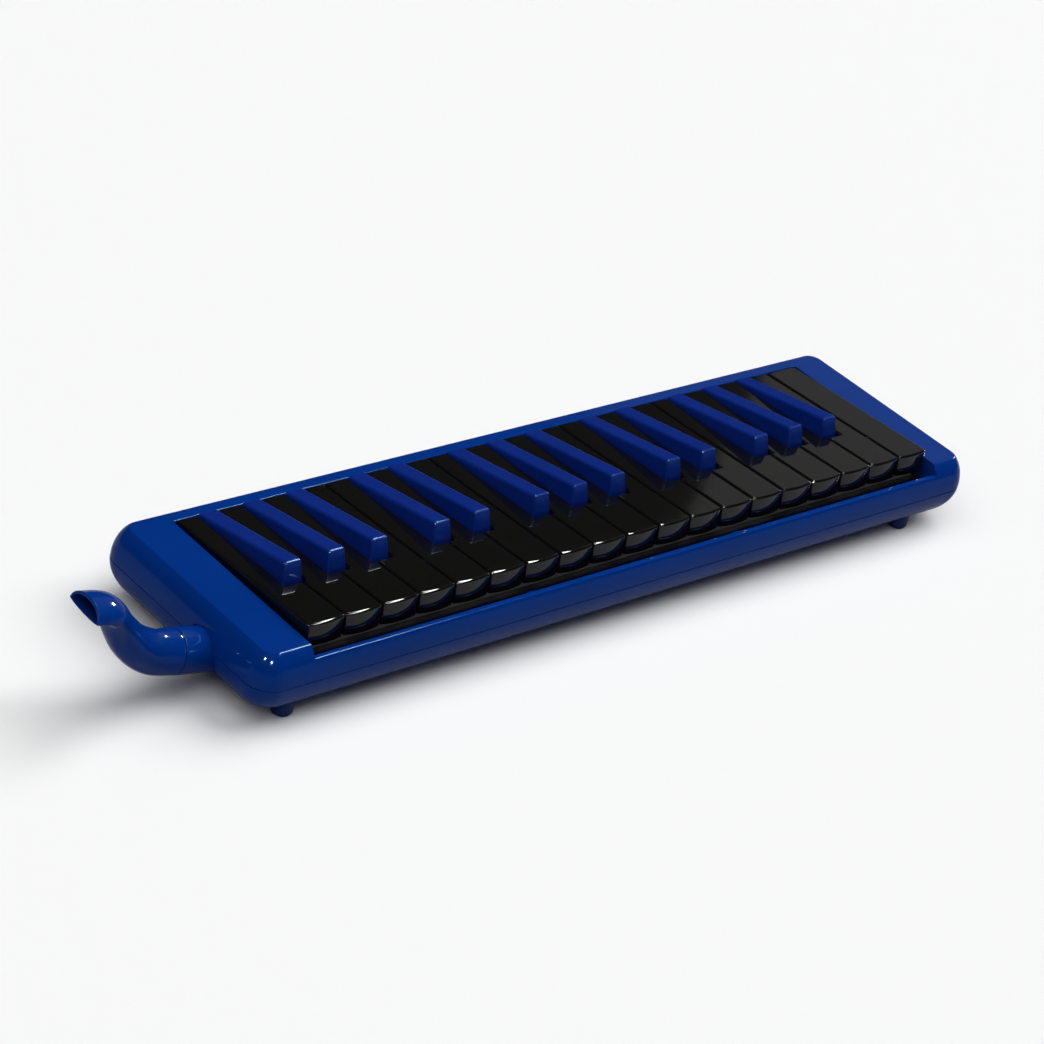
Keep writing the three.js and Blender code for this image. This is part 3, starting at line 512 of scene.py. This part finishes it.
def upper_form(inset):
    """Upper half's form: an elliptic side from the seam to the flat top's crease, moved in by inset."""
    rings = []
    for i in range(PROFILE_STEPS + 1):
        t = i / PROFILE_STEPS * CREASE
        z = SEAM_Z if i == 0 else (SEAM_Z + inset) * (1 - math.sin(t) / math.sin(CREASE)) - inset
        rings.append(casing_ring(side_reach(t) - inset, z, UPPER_CORNER))
    return loft("upper_form", rings)


def strip_cut():
    """Cutter that lowers the front between the end plates to the strip, whose two long edges are rounded."""
    t = math.asin(math.sin(CREASE) * (1 - STRIP_Z / SEAM_Z))
    slope = math.atan2(
        -SEAM_Z * math.cos(t) / math.sin(CREASE), BULGE * math.sin(t) / (1 - math.cos(CREASE)))
    r, z = STRIP_ROUND, STRIP_Z - STRIP_ROUND
    outer = list(arc((r * math.tan(slope / 2) - side_reach(t), z), r, 90 + math.degrees(slope), 90, 6))
    inner = list(arc((OPENING["y0"] - r, z), r, 90, 0, 6))
    far = -BULGE - OVERRUN
    outline = [(far, outer[0][1]), *outer, *inner, (OVERRUN, z), (OVERRUN, OVERRUN), (far, OVERRUN)]
    return prism_x(outline, OPENING["x0"], OPENING["x1"])


def lower_form(inset, lift=0.0):
    """Lower half's form: a quarter ellipse from the seam to the flat bottom, moved in by inset.

    lift raises the bottom alone.
    """
    seam = SEAM_Z - SEAM_GAP
    base = BOTTOM_Z + inset
    rings = []
    for i in range(PROFILE_STEPS + 1):
        t = (1 - i / PROFILE_STEPS) * math.pi / 2
        outset = BULGE - inset - BOTTOM_TUCK * (1 - math.cos(t))
        z = seam + (base - seam) * math.sin(t)
        rings.append(casing_ring(outset, z + (lift if i == PROFILE_STEPS else 0), LOWER_CORNER - inset))
    return loft("lower_form", rings)


SOCKET_AXIS = Vector((-math.cos(SOCKET["rise"]), 0, math.sin(SOCKET["rise"])))
SOCKET_MOUTH = Vector((SOCKET["x"], SOCKET["y"], SOCKET["z"]))


def on_socket_axis(outward):
    """Point on the socket's axis, this far out of its mouth."""
    return SOCKET_MOUTH + SOCKET_AXIS * outward


def socket_rooms():
    """Room that the socket's outside and its inner pipe take in the casing."""
    return [
        rod(on_socket_axis(OVERRUN), on_socket_axis(-SOCKET_TUBE["length"] - SEAM_GAP),
            SOCKET_TUBE["radius"] + SEAM_GAP, TUBE_SIDES),
        rod((PIPE["x0"], SOCKET["y"], PIPE["z"]), (PIPE["x1"], SOCKET["y"], PIPE["z"]),
            PIPE["radius"] + SEAM_GAP),
    ]


def opening_tool():
    """Keyboard opening with small rounded corners."""
    r = OPENING_CORNER
    x0, x1, y0, y1 = OPENING["x0"], OPENING["x1"], OPENING["y0"], OPENING["y1"]
    corners = ((x1 - r, y1 - r, 0), (x0 + r, y1 - r, 90), (x0 + r, y0 + r, 180), (x1 - r, y0 + r, 270))
    outline = [p for x, y, start in corners for p in arc((x, y), r, start, start + 90, 4)]
    return loft("tool", [[(x, y, z) for x, y in outline] for z in (BOSS["short_top"], OVERRUN)])


def on_seam(point, z):
    """Whether a point lies on the outer edge of the seam at height z."""
    margin = BULGE - SEAM_BAND
    inside_x = TOP["x0"] - margin < point.x < TOP["x1"] + margin
    inside_y = TOP["y0"] - margin < point.y < TOP["y1"] + margin
    in_corner = any(
        math.hypot(point.x - x, point.y - y) < TOP["corner"] + margin
        for x in (TOP["x0"] + TOP["corner"], TOP["x1"] - TOP["corner"])
        for y in (TOP["y0"] + TOP["corner"], TOP["y1"] - TOP["corner"])
    )
    beyond_x = point.x < TOP["x0"] + TOP["corner"] or point.x > TOP["x1"] - TOP["corner"]
    beyond_y = point.y < TOP["y0"] + TOP["corner"] or point.y > TOP["y1"] - TOP["corner"]
    inside = inside_x and inside_y and (in_corner or not (beyond_x and beyond_y))
    return abs(point.z - z) < NEAR and not inside


def upper_casing():
    """Upper shell: its opening, front strip, the skirts beside the keys, and bosses for the screws."""
    shell = cut_all(upper_form(0), upper_form(WALL))
    shell.name = "upper_casing_shell"
    skirts = [
        block(x, x + SKIRT["thick"], OPENING["y0"], OPENING["y1"], SKIRT["bottom"], -OVERRUN)
        for x in (OPENING["x0"] - SKIRT["thick"], OPENING["x1"])
    ]
    bosses = []
    for x, y, short in SCREW_PLACES.values():
        top = BOSS["short_top"] if short else -OVERRUN
        bosses.append(rod((x, y, SEAM_Z), (x, y, top), BOSS["upper"], BOSS_SIDES))
        if short:
            bosses.append(block(x - BOSS["web"], x + BOSS["web"], -BULGE, y, SEAM_Z, BOSS["short_top"]))
    inside = [keep_inside(piece, upper_form(BITE)) for piece in skirts + bosses]
    join_all(shell, *inside)
    holes = []
    for x, y, short in SCREW_PLACES.values():
        top = SCREW["short_top"] if short else SCREW["top"]
        holes.append(rod((x, y, SEAM_Z - OVERRUN), (x, y, top + SEAM_GAP), BOSS["hole"], HOLE_SIDES))
    cut_all(shell, opening_tool(), strip_cut(), *socket_rooms(), *holes)
    sides = (OPENING["x0"], OPENING["x1"])

    def shows(a, b):
        flat_top = abs(a.z) < NEAR and abs(b.z) < NEAR
        on_side = any(abs(a.x - x) < NEAR and abs(b.x - x) < NEAR for x in sides)
        step = on_side and max(a.y, b.y) < NEAR and max(a.z, b.z) > STRIP_Z + STEP_START
        return flat_top or step

    round_edges(shell, EDGE_ROUND, 4, shows, clamp=False)
    round_edges(shell, SEAM_ROUND, 3, lambda a, b: on_seam(a, SEAM_Z) and on_seam(b, SEAM_Z), clamp=False)
    smooth(shell)
    finish_piece(shell, "casing_blue", "casing", "upper_casing")


def lower_casing():
    """Lower shell: bosses and counterbores for the screws, and holes for the socket and the drain button."""
    shell = cut_all(lower_form(0), lower_form(WALL, lift=BITE))
    shell.name = "lower_casing_shell"
    bosses = []
    holes = []
    for x, y, short in SCREW_PLACES.values():
        head_top = SCREW["head_top"] + (SHORT_HEAD_LIFT if short else 0)
        boss = rod((x, y, BOTTOM_Z + BITE), (x, y, SEAM_Z - SEAM_GAP), BOSS["lower"], BOSS_SIDES)
        bosses.append(keep_inside(boss, lower_form(BITE)))
        below = (x, y, BOTTOM_Z - OVERRUN)
        holes.append(rod(below, (x, y, SEAM_Z + OVERRUN), BOSS["hole"], HOLE_SIDES))
        holes.append(rod(below, (x, y, head_top + SEAM_GAP), BOSS["counterbore"], BOSS_SIDES))
    drain = rod(
        (DRAIN["x0"], DRAIN["y"], DRAIN["z"]), (DRAIN["x1"] + OVERRUN, DRAIN["y"], DRAIN["z"]),
        DRAIN["radius"] + SEAM_GAP)
    join_all(shell, *bosses)
    cut_all(shell, *socket_rooms(), drain, *holes)
    seam = SEAM_Z - SEAM_GAP
    round_edges(shell, SEAM_ROUND, 3, lambda a, b: on_seam(a, seam) and on_seam(b, seam), clamp=False)
    smooth(shell)
    finish_piece(shell, "casing_blue", "casing", "lower_casing")


def feet():
    """Round feet with rounded undersides."""
    r, flat = FOOT["radius"], FOOT["flat"]
    bend = r - flat
    profile = [(0, flat)]
    profile += [(y + bend, flat + x) for x, y in arc((0, 0), bend, -90, 0, 8)][1:]
    profile.append((FOOT["top"] - FOOT["bottom"], r))
    for side, x in FEET_X.items():
        for end, y in FEET_Y.items():
            name = f"foot_{end}_{side}"
            foot = turned(name + "_moulded", Vector((x, y, FOOT["bottom"])), Vector((0, 0, 1)), profile)
            cut_all(foot, lower_form(-SEAM_GAP))
            smooth(foot, degrees=50)
            finish_piece(foot, "foot_navy", "casing", name)


def screws():
    """Pan-head screws with a cross slot, seen in their counterbores from below."""
    for name, (x, y, short) in SCREW_PLACES.items():
        top = SCREW["short_top"] if short else SCREW["top"]
        start = SCREW["head_bottom"] + (SHORT_HEAD_LIFT if short else 0)
        neck = SCREW["head_top"] - SCREW["head_bottom"]
        profile = [(height, SCREW["head"] - inward) for height, inward in SCREW_PAN]
        profile += [(neck, SCREW["head"]), (neck, SCREW["shank"])]
        profile += [(top - start - SCREW_TIP["length"], SCREW["shank"]), (top - start, SCREW_TIP["radius"])]
        screw = turned(name + "_cross_head", Vector((x, y, start)), Vector((0, 0, 1)), profile, BOSS_SIDES)
        reach, half = SCREW_SLOT["reach"], SCREW_SLOT["half"]
        low, high = start - OVERRUN, start + SCREW_SLOT["depth"]
        cut_all(
            screw,
            block(x - reach, x + reach, y - half, y + half, low, high),
            block(x - half, x + half, y - reach, y + reach, low, high),
        )
        smooth(screw)
        finish_piece(screw, "steel", "casing", name)


# ---------------------------------------------------------------- keys


def natural_top(y):
    """Height of the naturals' tops at y, which fall a little towards the back."""
    back = (y - NATURAL_FRONT["y"]) / (KEY_BACK_Y - NATURAL_FRONT["y"])
    return NATURAL_FRONT["z"] + (NATURAL_BACK_Z - NATURAL_FRONT["z"]) * back


def note_of(natural):
    """Letter of a natural, counted from 0 at the left."""
    return NOTES[natural % len(NOTES)]


def octave_of(natural):
    """Octave number of a natural, which steps up at each C."""
    return FIRST_OCTAVE + (natural + len(NOTES) - NOTES.index("C")) // len(NOTES)


def sharp_middle(natural):
    """Middle of the sharp over the crack on the right of a natural, or None where there is none."""
    shift = SHARP_SHIFT.get(note_of(natural))
    if shift is None or not 0 <= natural < NATURALS - 1:
        return None
    return (natural + 1) * PITCH + shift


def natural_sides(natural):
    """Left and right sides of a natural in front, then in the neck beside the sharps."""
    left = natural * PITCH + KEY_GAP / 2
    right = (natural + 1) * PITCH - KEY_GAP / 2
    before = sharp_middle(natural - 1)
    after = sharp_middle(natural)
    return (
        left,
        right,
        left if before is None else before + NOTCH_HALF,
        right if after is None else after - NOTCH_HALF,
    )


def natural_outline(natural):
    """Plan of a natural: a front edge that bows forwards between rounded corners, and the notches."""
    left, right, neck_left, neck_right = natural_sides(natural)
    middle, half = (left + right) / 2, (right - left) / 2
    y = NATURAL_FRONT["y"]
    r = NATURAL_ROUND
    flank = y + NATURAL_BOW
    outline = list(arc((left + r, flank + r), r, 180, 270 - BOW_TURN, 4))
    for i in range(1, BOW_STEPS):
        u = -1 + 2 * i / BOW_STEPS
        outline.append((middle + u * (half - r), y + NATURAL_BOW * u * u))
    outline += arc((right - r, flank + r), r, 270 + BOW_TURN, 360, 4)
    if neck_right < right:
        outline += [(right, NOTCH_Y), (neck_right, NOTCH_Y)]
    outline += [(neck_right, KEY_BACK_Y), (neck_left, KEY_BACK_Y)]
    if neck_left > left:
        outline += [(neck_left, NOTCH_Y), (left, NOTCH_Y)]
    return outline


def arm_and_valve(middle):
    """Rear arm that clips over the hinge rod, and the stem with the pad below the valve plate."""
    outline = [
        (ARM["front"], ARM["bottom"]), (ARM["back"], ARM["bottom"]), (ARM["back"], ARM["tail"]),
        (ARM["slope"], ARM["top"]), (KEY_BACK_Y, ARM["top"]),
        (KEY_BACK_Y, natural_top(KEY_BACK_Y) - BITE), (ARM["front"], natural_top(ARM["front"]) - BITE),
    ]
    half = ARM["half"]
    arm = prism_x(outline, middle - half, middle + half)
    x0, x1 = middle - half - OVERRUN, middle + half + OVERRUN
    room = HINGE["room"]
    cut_all(
        arm,
        block(x0, x1, HINGE["y"] - room, HINGE["y"] + room, ARM["bottom"] - OVERRUN, HINGE["z"]),
        rod((x0, HINGE["y"], HINGE["z"]), (x1, HINGE["y"], HINGE["z"]), room, sides=24),
    )
    stem_top = natural_top(STEM["y1"]) - KEY_SKIN + BITE
    stem = block(
        middle - STEM["half"], middle + STEM["half"], STEM["y0"], STEM["y1"], PAD["top"] - BITE, stem_top)
    pad = block(
        middle - PAD["half"], middle + PAD["half"], PAD["y0"], PAD["y1"],
        PAD["top"] - PAD["thick"], PAD["top"])
    return [arm, stem, pad]


def pocket(outline):
    """Hollow under a key, inside this plan outline."""
    bottom = [(x, y, KEY_BOTTOM - OVERRUN) for x, y in outline]
    top = [(x, y, natural_top(y) - KEY_SKIN) for x, y in outline]
    return loft("tool", [bottom, top])


def natural_pocket(natural):
    """Hollow under a natural, which keeps a wall along its sides and notches."""
    left, right, neck_left, neck_right = natural_sides(natural)
    wall = KEY_WALL
    front, back, notch = NATURAL_FRONT["y"] + NATURAL_LIP, POCKET_BACK_Y, NOTCH_Y - wall
    outline = [(left + wall, front), (right - wall, front)]
    if neck_right < right:
        outline += [(right - wall, notch), (neck_right - wall, notch)]
    outline += [(neck_right - wall, back), (neck_left + wall, back)]
    if neck_left > left:
        outline += [(neck_left + wall, notch), (left + wall, notch)]
    return pocket(outline)


def natural_key(natural):
    """Natural key with a bowed, slightly leaning front and rounded edges."""
    _, _, neck_left, neck_right = natural_sides(natural)
    name = f"key_{note_of(natural)}{octave_of(natural)}"
    outline = natural_outline(natural)
    flank = NATURAL_FRONT["y"] + NATURAL_BOW + NATURAL_ROUND
    heel = (KEY_HEEL_Z - KEY_BOTTOM) / (KEY_BACK_Y - NATURAL_FRONT["y"])

    def lean(y):
        return y - NATURAL_LEAN * max(0.0, (flank - y) / (flank - NATURAL_FRONT["y"])) ** 0.5

    bottom = [(x, lean(y), KEY_BOTTOM + heel * (y - NATURAL_FRONT["y"])) for x, y in outline]
    top = [(x, y, natural_top(y)) for x, y in outline]
    key = loft(name + "_moulded", [bottom, top])

    def on_top(point):
        return point.z > natural_top(point.y) - NEAR

    round_edges(key, NATURAL_ROUND, 5, lambda a, b: on_top(a) and on_top(b))
    middle = (neck_left + neck_right) / 2
    cut_all(key, natural_pocket(natural))
    join_all(key, *arm_and_valve(middle))
    smooth(key, degrees=40)
    finish_piece(key, "key_black", name, name)


def sharp_key(natural):
    """Sharp key with tapered sides, a leaning front and rounded top edges."""
    middle = sharp_middle(natural)
    name = f"key_{note_of(natural)}sharp{octave_of(natural)}"
    low_z, high_z = KEY_BOTTOM - OVERRUN, SHARP_FRONT["z"] + OVERRUN

    def half(z):
        share = (z - low_z) / (high_z - low_z)
        return SHARP_HALF["base"] + (SHARP_HALF["top"] - SHARP_HALF["base"]) * share

    profile = [
        (SHARP_FRONT["low_y"], KEY_BOTTOM), (KEY_BACK_Y, KEY_HEEL_Z), (KEY_BACK_Y, SHARP_BACK_Z),
        (SHARP_FRONT["top_y"], SHARP_FRONT["z"]), (SHARP_FRONT["low_y"], natural_top(SHARP_FRONT["low_y"])),
    ]
    sides = [[(middle + s * half(z), y, z) for y, z in profile] for s in (-1, 1)]
    key = loft(name + "_moulded", sides)
    foot_z = natural_top(SHARP_FRONT["low_y"])

    def shows(a, b):
        back = a.y > KEY_BACK_Y - NEAR and b.y > KEY_BACK_Y - NEAR
        across_foot = abs(a.z - b.z) < NEAR and a.z < foot_z + NEAR and abs(a.x - b.x) > ACROSS
        high = max(a.z, b.z) > foot_z - NEAR and min(a.z, b.z) > KEY_HEEL_Z
        return high and not back and not across_foot

    round_edges(key, SHARP_ROUND, 5, shows)
    hollow = SHARP_HALF["base"] - KEY_WALL
    outline = [
        (middle - hollow, SHARP_FRONT["top_y"]), (middle + hollow, SHARP_FRONT["top_y"]),
        (middle + hollow, POCKET_BACK_Y), (middle - hollow, POCKET_BACK_Y),
    ]
    cut_all(key, pocket(outline))
    join_all(key, *arm_and_valve(middle))
    smooth(key, degrees=40)
    finish_piece(key, "sharp_blue", name, name)


def keyboard():
    """Every natural, each followed by the sharp on its right."""
    for natural in range(NATURALS):
        natural_key(natural)
        if sharp_middle(natural) is not None:
            sharp_key(natural)


# ---------------------------------------------------------------- air inlet


def inlet_socket():
    """Socket tube with rounded edges, and the pipe that leads on to the chest."""
    tube, edge = SOCKET_TUBE, SOCKET_TUBE["edge"]
    profile = [(edge - y, tube["radius"] - edge + x) for x, y in arc((0, 0), edge, 90, 0, 5)]
    profile.append((tube["length"], tube["radius"]))
    socket = turned("inlet_socket_moulded", SOCKET_MOUTH, -SOCKET_AXIS, profile, TUBE_SIDES)
    y, z = SOCKET["y"], PIPE["z"]
    join_all(socket, rod((PIPE["x0"], y, z), (PIPE["x1"], y, z), PIPE["radius"]))
    cut_all(
        socket,
        rod(on_socket_axis(OVERRUN), on_socket_axis(-tube["depth"]), tube["bore"], TUBE_SIDES),
        rod((PIPE["bore_x0"], y, z), (PIPE["x1"] + OVERRUN, y, z), PIPE["bore"]),
    )
    smooth(socket)
    finish_piece(socket, "casing_blue", "casing", "inlet_socket")


def spline(values, t):
    """Smooth value at t from 0 to 1 through evenly spaced values."""
    spans = len(values) - 1
    k = min(int(t * spans), spans - 1)
    u = t * spans - k
    before = values[k - 1] if k > 0 else 2 * values[0] - values[1]
    after = values[k + 2] if k + 2 <= spans else 2 * values[-1] - values[-2]
    a, b = values[k], values[k + 1]
    return 0.5 * (
        2 * a + (b - before) * u + (2 * before - 5 * a + 4 * b - after) * u ** 2
        + (3 * a - before - 3 * b + after) * u ** 3
    )


def turned_on_socket(point):
    """Point turned about the socket's axis by the mouthpiece's turn."""
    return tuple(SOCKET_MOUTH + Matrix.Rotation(MOUTH_TURN, 3, SOCKET_AXIS) @ (point - SOCKET_MOUTH))


def mouth_ring(t, share, along=0.0):
    """Ring across the mouthpiece at t, with a share of the wall taken off and moved out by along."""
    def station(s):
        return [spline(values, s) for values in zip(*MOUTHPIECE)]

    ahead, behind = station(min(1, t + DIRECTION_STEP)), station(max(0, t - DIRECTION_STEP))
    axis = Vector((ahead[0] - behind[0], 0, ahead[1] - behind[1])).normalized()
    blend = max(0.0, 1 - t / SOCKET_BLEND)
    axis = (axis * (1 - blend) + SOCKET_AXIS * blend).normalized()
    across = Vector((axis.z, 0, -axis.x))
    x, z, top, bottom, wide = station(t)
    centre = on_socket_axis(SHOULDER_GAP) + Vector((x, 0, z)) + axis * along
    thinned = min(1, t / MOUTH_WALL["thin_from"])
    roof, under, side = [
        share * (MOUTH_WALL["ring"] + (MOUTH_WALL[end] - MOUTH_WALL["ring"]) * thinned)
        for end in ("roof", "floor", "side")
    ]
    ring = []
    for i in range(TUBE_SIDES):
        a = 2 * math.pi * i / TUBE_SIDES
        rise = math.cos(a) * (top - roof if math.cos(a) > 0 else bottom - under)
        point = centre + across * rise + Vector((0, (wide - side) * math.sin(a), 0))
        ring.append(turned_on_socket(point))
    return ring


def spigot_ring(outward, radius):
    """Round ring about the socket's axis, turned with the mouthpiece."""
    across = Vector((SOCKET_AXIS.z, 0, -SOCKET_AXIS.x))
    ring = circle(on_socket_axis(outward), across, Vector((0, 1, 0)), radius, TUBE_SIDES)
    return [turned_on_socket(Vector(point)) for point in ring]


def mouthpiece():
    """One closed skin: along the outside, round the lip, back through the airway and round the spigot."""
    edge, shoulder = SOCKET_TUBE["edge"], MOUTHPIECE[0][2]
    first, last = MOUTH_START, 1 - LIP_SHARE
    rings = [
        spigot_ring(SHOULDER_GAP + edge - y, shoulder - edge + x)
        for x, y in list(arc((0, 0), edge, 90, 0, 4))[:-1]
    ]
    rings += [mouth_ring(first + (last - first) * i / MOUTH_RINGS, 0) for i in range(MOUTH_RINGS + 1)]
    rings += [mouth_ring(last, (1 - x) / 2, MOUTH_LIP * y) for x, y in arc((0, 0), 1, 20, 160, 8)]
    rings += [mouth_ring(last * (1 - i / MOUTH_RINGS), 1) for i in range(MOUTH_RINGS)]
    rings += [
        spigot_ring(-SPIGOT["length"], SPIGOT["bore"]),
        spigot_ring(-SPIGOT["length"], SPIGOT["radius"] - SPIGOT["edge"]),
        spigot_ring(-SPIGOT["length"] + SPIGOT["edge"], SPIGOT["radius"]),
        spigot_ring(SHOULDER_GAP, SPIGOT["radius"]),
    ]
    piece = loft("mouthpiece_moulded", rings, closed=True)
    smooth(piece, degrees=60)
    finish_piece(piece, "casing_blue", "mouthpiece", "mouthpiece")


def drain_button():
    """Round push button with a rounded rim and a dished face, and its stem."""
    start, end = DRAIN["x0"] - DRAIN["stem_x0"], DRAIN["x1"] - DRAIN["stem_x0"]
    r, bend = DRAIN["radius"], DRAIN_BEND
    profile = [(0, DRAIN["stem"]), (start, DRAIN["stem"]), (start, r)]
    profile += [(end - bend + y, r - bend + x) for x, y in arc((0, 0), bend, 0, 90, 6)]
    profile += [(end - depth, radius) for depth, radius in DRAIN_DISH]
    middle = Vector((DRAIN["stem_x0"], DRAIN["y"], DRAIN["z"]))
    button = turned("drain_button_moulded", middle, Vector((1, 0, 0)), profile, sides=40)
    smooth(button)
    finish_piece(button, "foot_navy", "drain_valve", "drain_button")


# ---------------------------------------------------------------- inner pieces


def inner_pieces():
    """CAD nodes that stay as they are and get their materials."""
    looks = {
        "valve_plate": "inner_black", "wind_chest": "inner_black",
        "reed_plate_bass": "reed_brass", "reed_plate_treble": "reed_brass",
        "hinge_rod": "steel", "spring_comb": "steel", "drain_spring": "steel",
        "chest_gasket": "seal_rubber", "drain_seal": "seal_rubber",
        "down_stop_felt": "felt", "up_stop_felt": "felt",
    }
    for name, look in looks.items():
        node = frame["nodes"][name]
        node.data.materials.clear()
        node.data.materials.append(LOOKS[look])


# ---------------------------------------------------------------- studio

FLOOR_HALF = 12.0
FLOOR_SEEN = (0.9, 0.9, 0.9, 1)
FLOOR_MIRRORED = (0.38, 0.39, 0.41, 1)
GROUND_SEEN = (0.95, 0.95, 0.95, 1)
ROOM_MIRRORED = (0.025, 0.026, 0.028, 1)
CARD_COLOUR = (0.96, 1.0, 0.95)


def floor():
    """Plain pale floor, which is greyer in reflections and bounced light than it looks to the camera."""
    half = FLOOR_HALF
    mesh = bpy.data.meshes.new("studio_floor")
    corners = [(-half, -half, 0), (half, -half, 0), (half, half, 0), (-half, half, 0)]
    mesh.from_pydata(corners, [], [(0, 1, 2, 3)])
    obj = bpy.data.objects.new("studio_floor", mesh)
    bpy.context.scene.collection.objects.link(obj)
    material = bpy.data.materials.new("studio_floor")
    material.use_nodes = True
    shader = material.node_tree.nodes["Principled BSDF"]
    nodes, links = material.node_tree.nodes, material.node_tree.links
    path = nodes.new("ShaderNodeLightPath")
    shade = nodes.new("ShaderNodeMix")
    shade.data_type = "RGBA"
    shade.inputs["A"].default_value = FLOOR_MIRRORED
    shade.inputs["B"].default_value = FLOOR_SEEN
    links.new(path.outputs["Is Camera Ray"], shade.inputs["Factor"])
    links.new(shade.outputs["Result"], shader.inputs["Base Color"])
    shader.inputs["Roughness"].default_value = 0.9
    shader.inputs["Specular IOR Level"].default_value = 0.1
    mesh.materials.append(material)


def towards(azimuth, elevation):
    """Direction at this azimuth, from +Y towards +X, and elevation, both in degrees."""
    a, e = math.radians(azimuth), math.radians(elevation)
    return Vector((math.sin(a) * math.cos(e), math.cos(a) * math.cos(e), math.sin(e)))


def sun(name, azimuth, elevation, strength, spread, highlight):
    """Distant lamp, spread degrees wide. It lights the object or, as a highlight, is only mirrored in it."""
    light = bpy.data.lights.new(name, "SUN")
    light.energy = strength
    light.angle = math.radians(spread)
    obj = bpy.data.objects.new(name, light)
    bpy.context.scene.collection.objects.link(obj)
    obj.rotation_mode = "QUATERNION"
    obj.rotation_quaternion = towards(azimuth, elevation).to_track_quat("Z", "Y")
    obj.visible_glossy = highlight
    obj.visible_diffuse = not highlight


def card(name, azimuth, elevation, width, height, distance, radiance, lean=0.0, upright=False):
    """Evenly lit card that is mirrored in the object. It faces the object, or stands upright, and leans."""
    light = bpy.data.lights.new(name, "AREA")
    light.shape = "RECTANGLE"
    light.size, light.size_y = width, height
    light.energy = radiance * math.pi * width * height
    light.color = CARD_COLOUR
    out = towards(azimuth, elevation)
    facing = Vector((out.x, out.y, 0)) if upright else out
    obj = bpy.data.objects.new(name, light)
    bpy.context.scene.collection.objects.link(obj)
    obj.location = out * distance
    obj.rotation_mode = "QUATERNION"
    obj.rotation_quaternion = facing.to_track_quat("Z", "Y") @ Quaternion((0, 0, 1), math.radians(lean))
    obj.visible_camera = False
    obj.visible_diffuse = False


def world():
    """Dim room for reflections and a pale ground behind the object."""
    made = bpy.data.worlds.new("studio")
    bpy.context.scene.world = made
    made.use_nodes = True
    nodes, links = made.node_tree.nodes, made.node_tree.links
    nodes.clear()
    room = nodes.new("ShaderNodeBackground")
    room.inputs["Color"].default_value = ROOM_MIRRORED
    pale = nodes.new("ShaderNodeBackground")
    pale.inputs["Color"].default_value = GROUND_SEEN
    path = nodes.new("ShaderNodeLightPath")
    mix = nodes.new("ShaderNodeMixShader")
    out = nodes.new("ShaderNodeOutputWorld")
    links.new(path.outputs["Is Camera Ray"], mix.inputs[0])
    links.new(room.outputs[0], mix.inputs[1])
    links.new(pale.outputs[0], mix.inputs[2])
    links.new(mix.outputs[0], out.inputs["Surface"])


def camera():
    """Camera on its line of sight through the aim, turned about that line by its roll."""
    a, e = math.radians(CAMERA["azimuth"]), math.radians(CAMERA["elevation"])
    back = Vector((math.sin(a) * math.cos(e), -math.cos(a) * math.cos(e), math.sin(e)))
    turn = (-back).to_track_quat("-Z", "Y").to_matrix().to_4x4()
    data = bpy.data.cameras.new("camera")
    data.lens = CAMERA["lens"]
    obj = bpy.data.objects.new("camera", data)
    bpy.context.scene.collection.objects.link(obj)
    place = at(*CAMERA["aim"]) + back * CAMERA["distance"] * MM
    roll = Matrix.Rotation(math.radians(CAMERA["roll"]), 4, "Z")
    obj.matrix_world = Matrix.Translation(place) @ turn @ roll
    bpy.context.scene.camera = obj


def studio():
    """Floor, room, two lights, the lamps and cards that are only mirrored, and the camera."""
    floor()
    world()
    sun("main", azimuth=97, elevation=54, strength=2.25, spread=50, highlight=False)
    sun("fill", azimuth=255, elevation=64, strength=1.5, spread=70, highlight=False)
    sun("dot_left", azimuth=-105, elevation=39, strength=5.0, spread=4.6, highlight=True)
    sun("dot_right", azimuth=-150, elevation=34, strength=5.0, spread=4.6, highlight=True)
    sun("dot_mouthpiece", azimuth=75.5, elevation=26, strength=2.5, spread=5.5, highlight=True)
    card("side_card", azimuth=71.5, elevation=24.0, width=2.2, height=3.0, distance=3.4, radiance=0.21,
         lean=-16, upright=True)
    card("streak_card", azimuth=100, elevation=57, width=4.0, height=0.26, distance=3.4, radiance=40.0)
    camera()
    bpy.context.scene.view_settings.view_transform = "Standard"


studio()
upper_casing()
lower_casing()
keyboard()
inlet_socket()
mouthpiece()
drain_button()
feet()
screws()
inner_pieces()
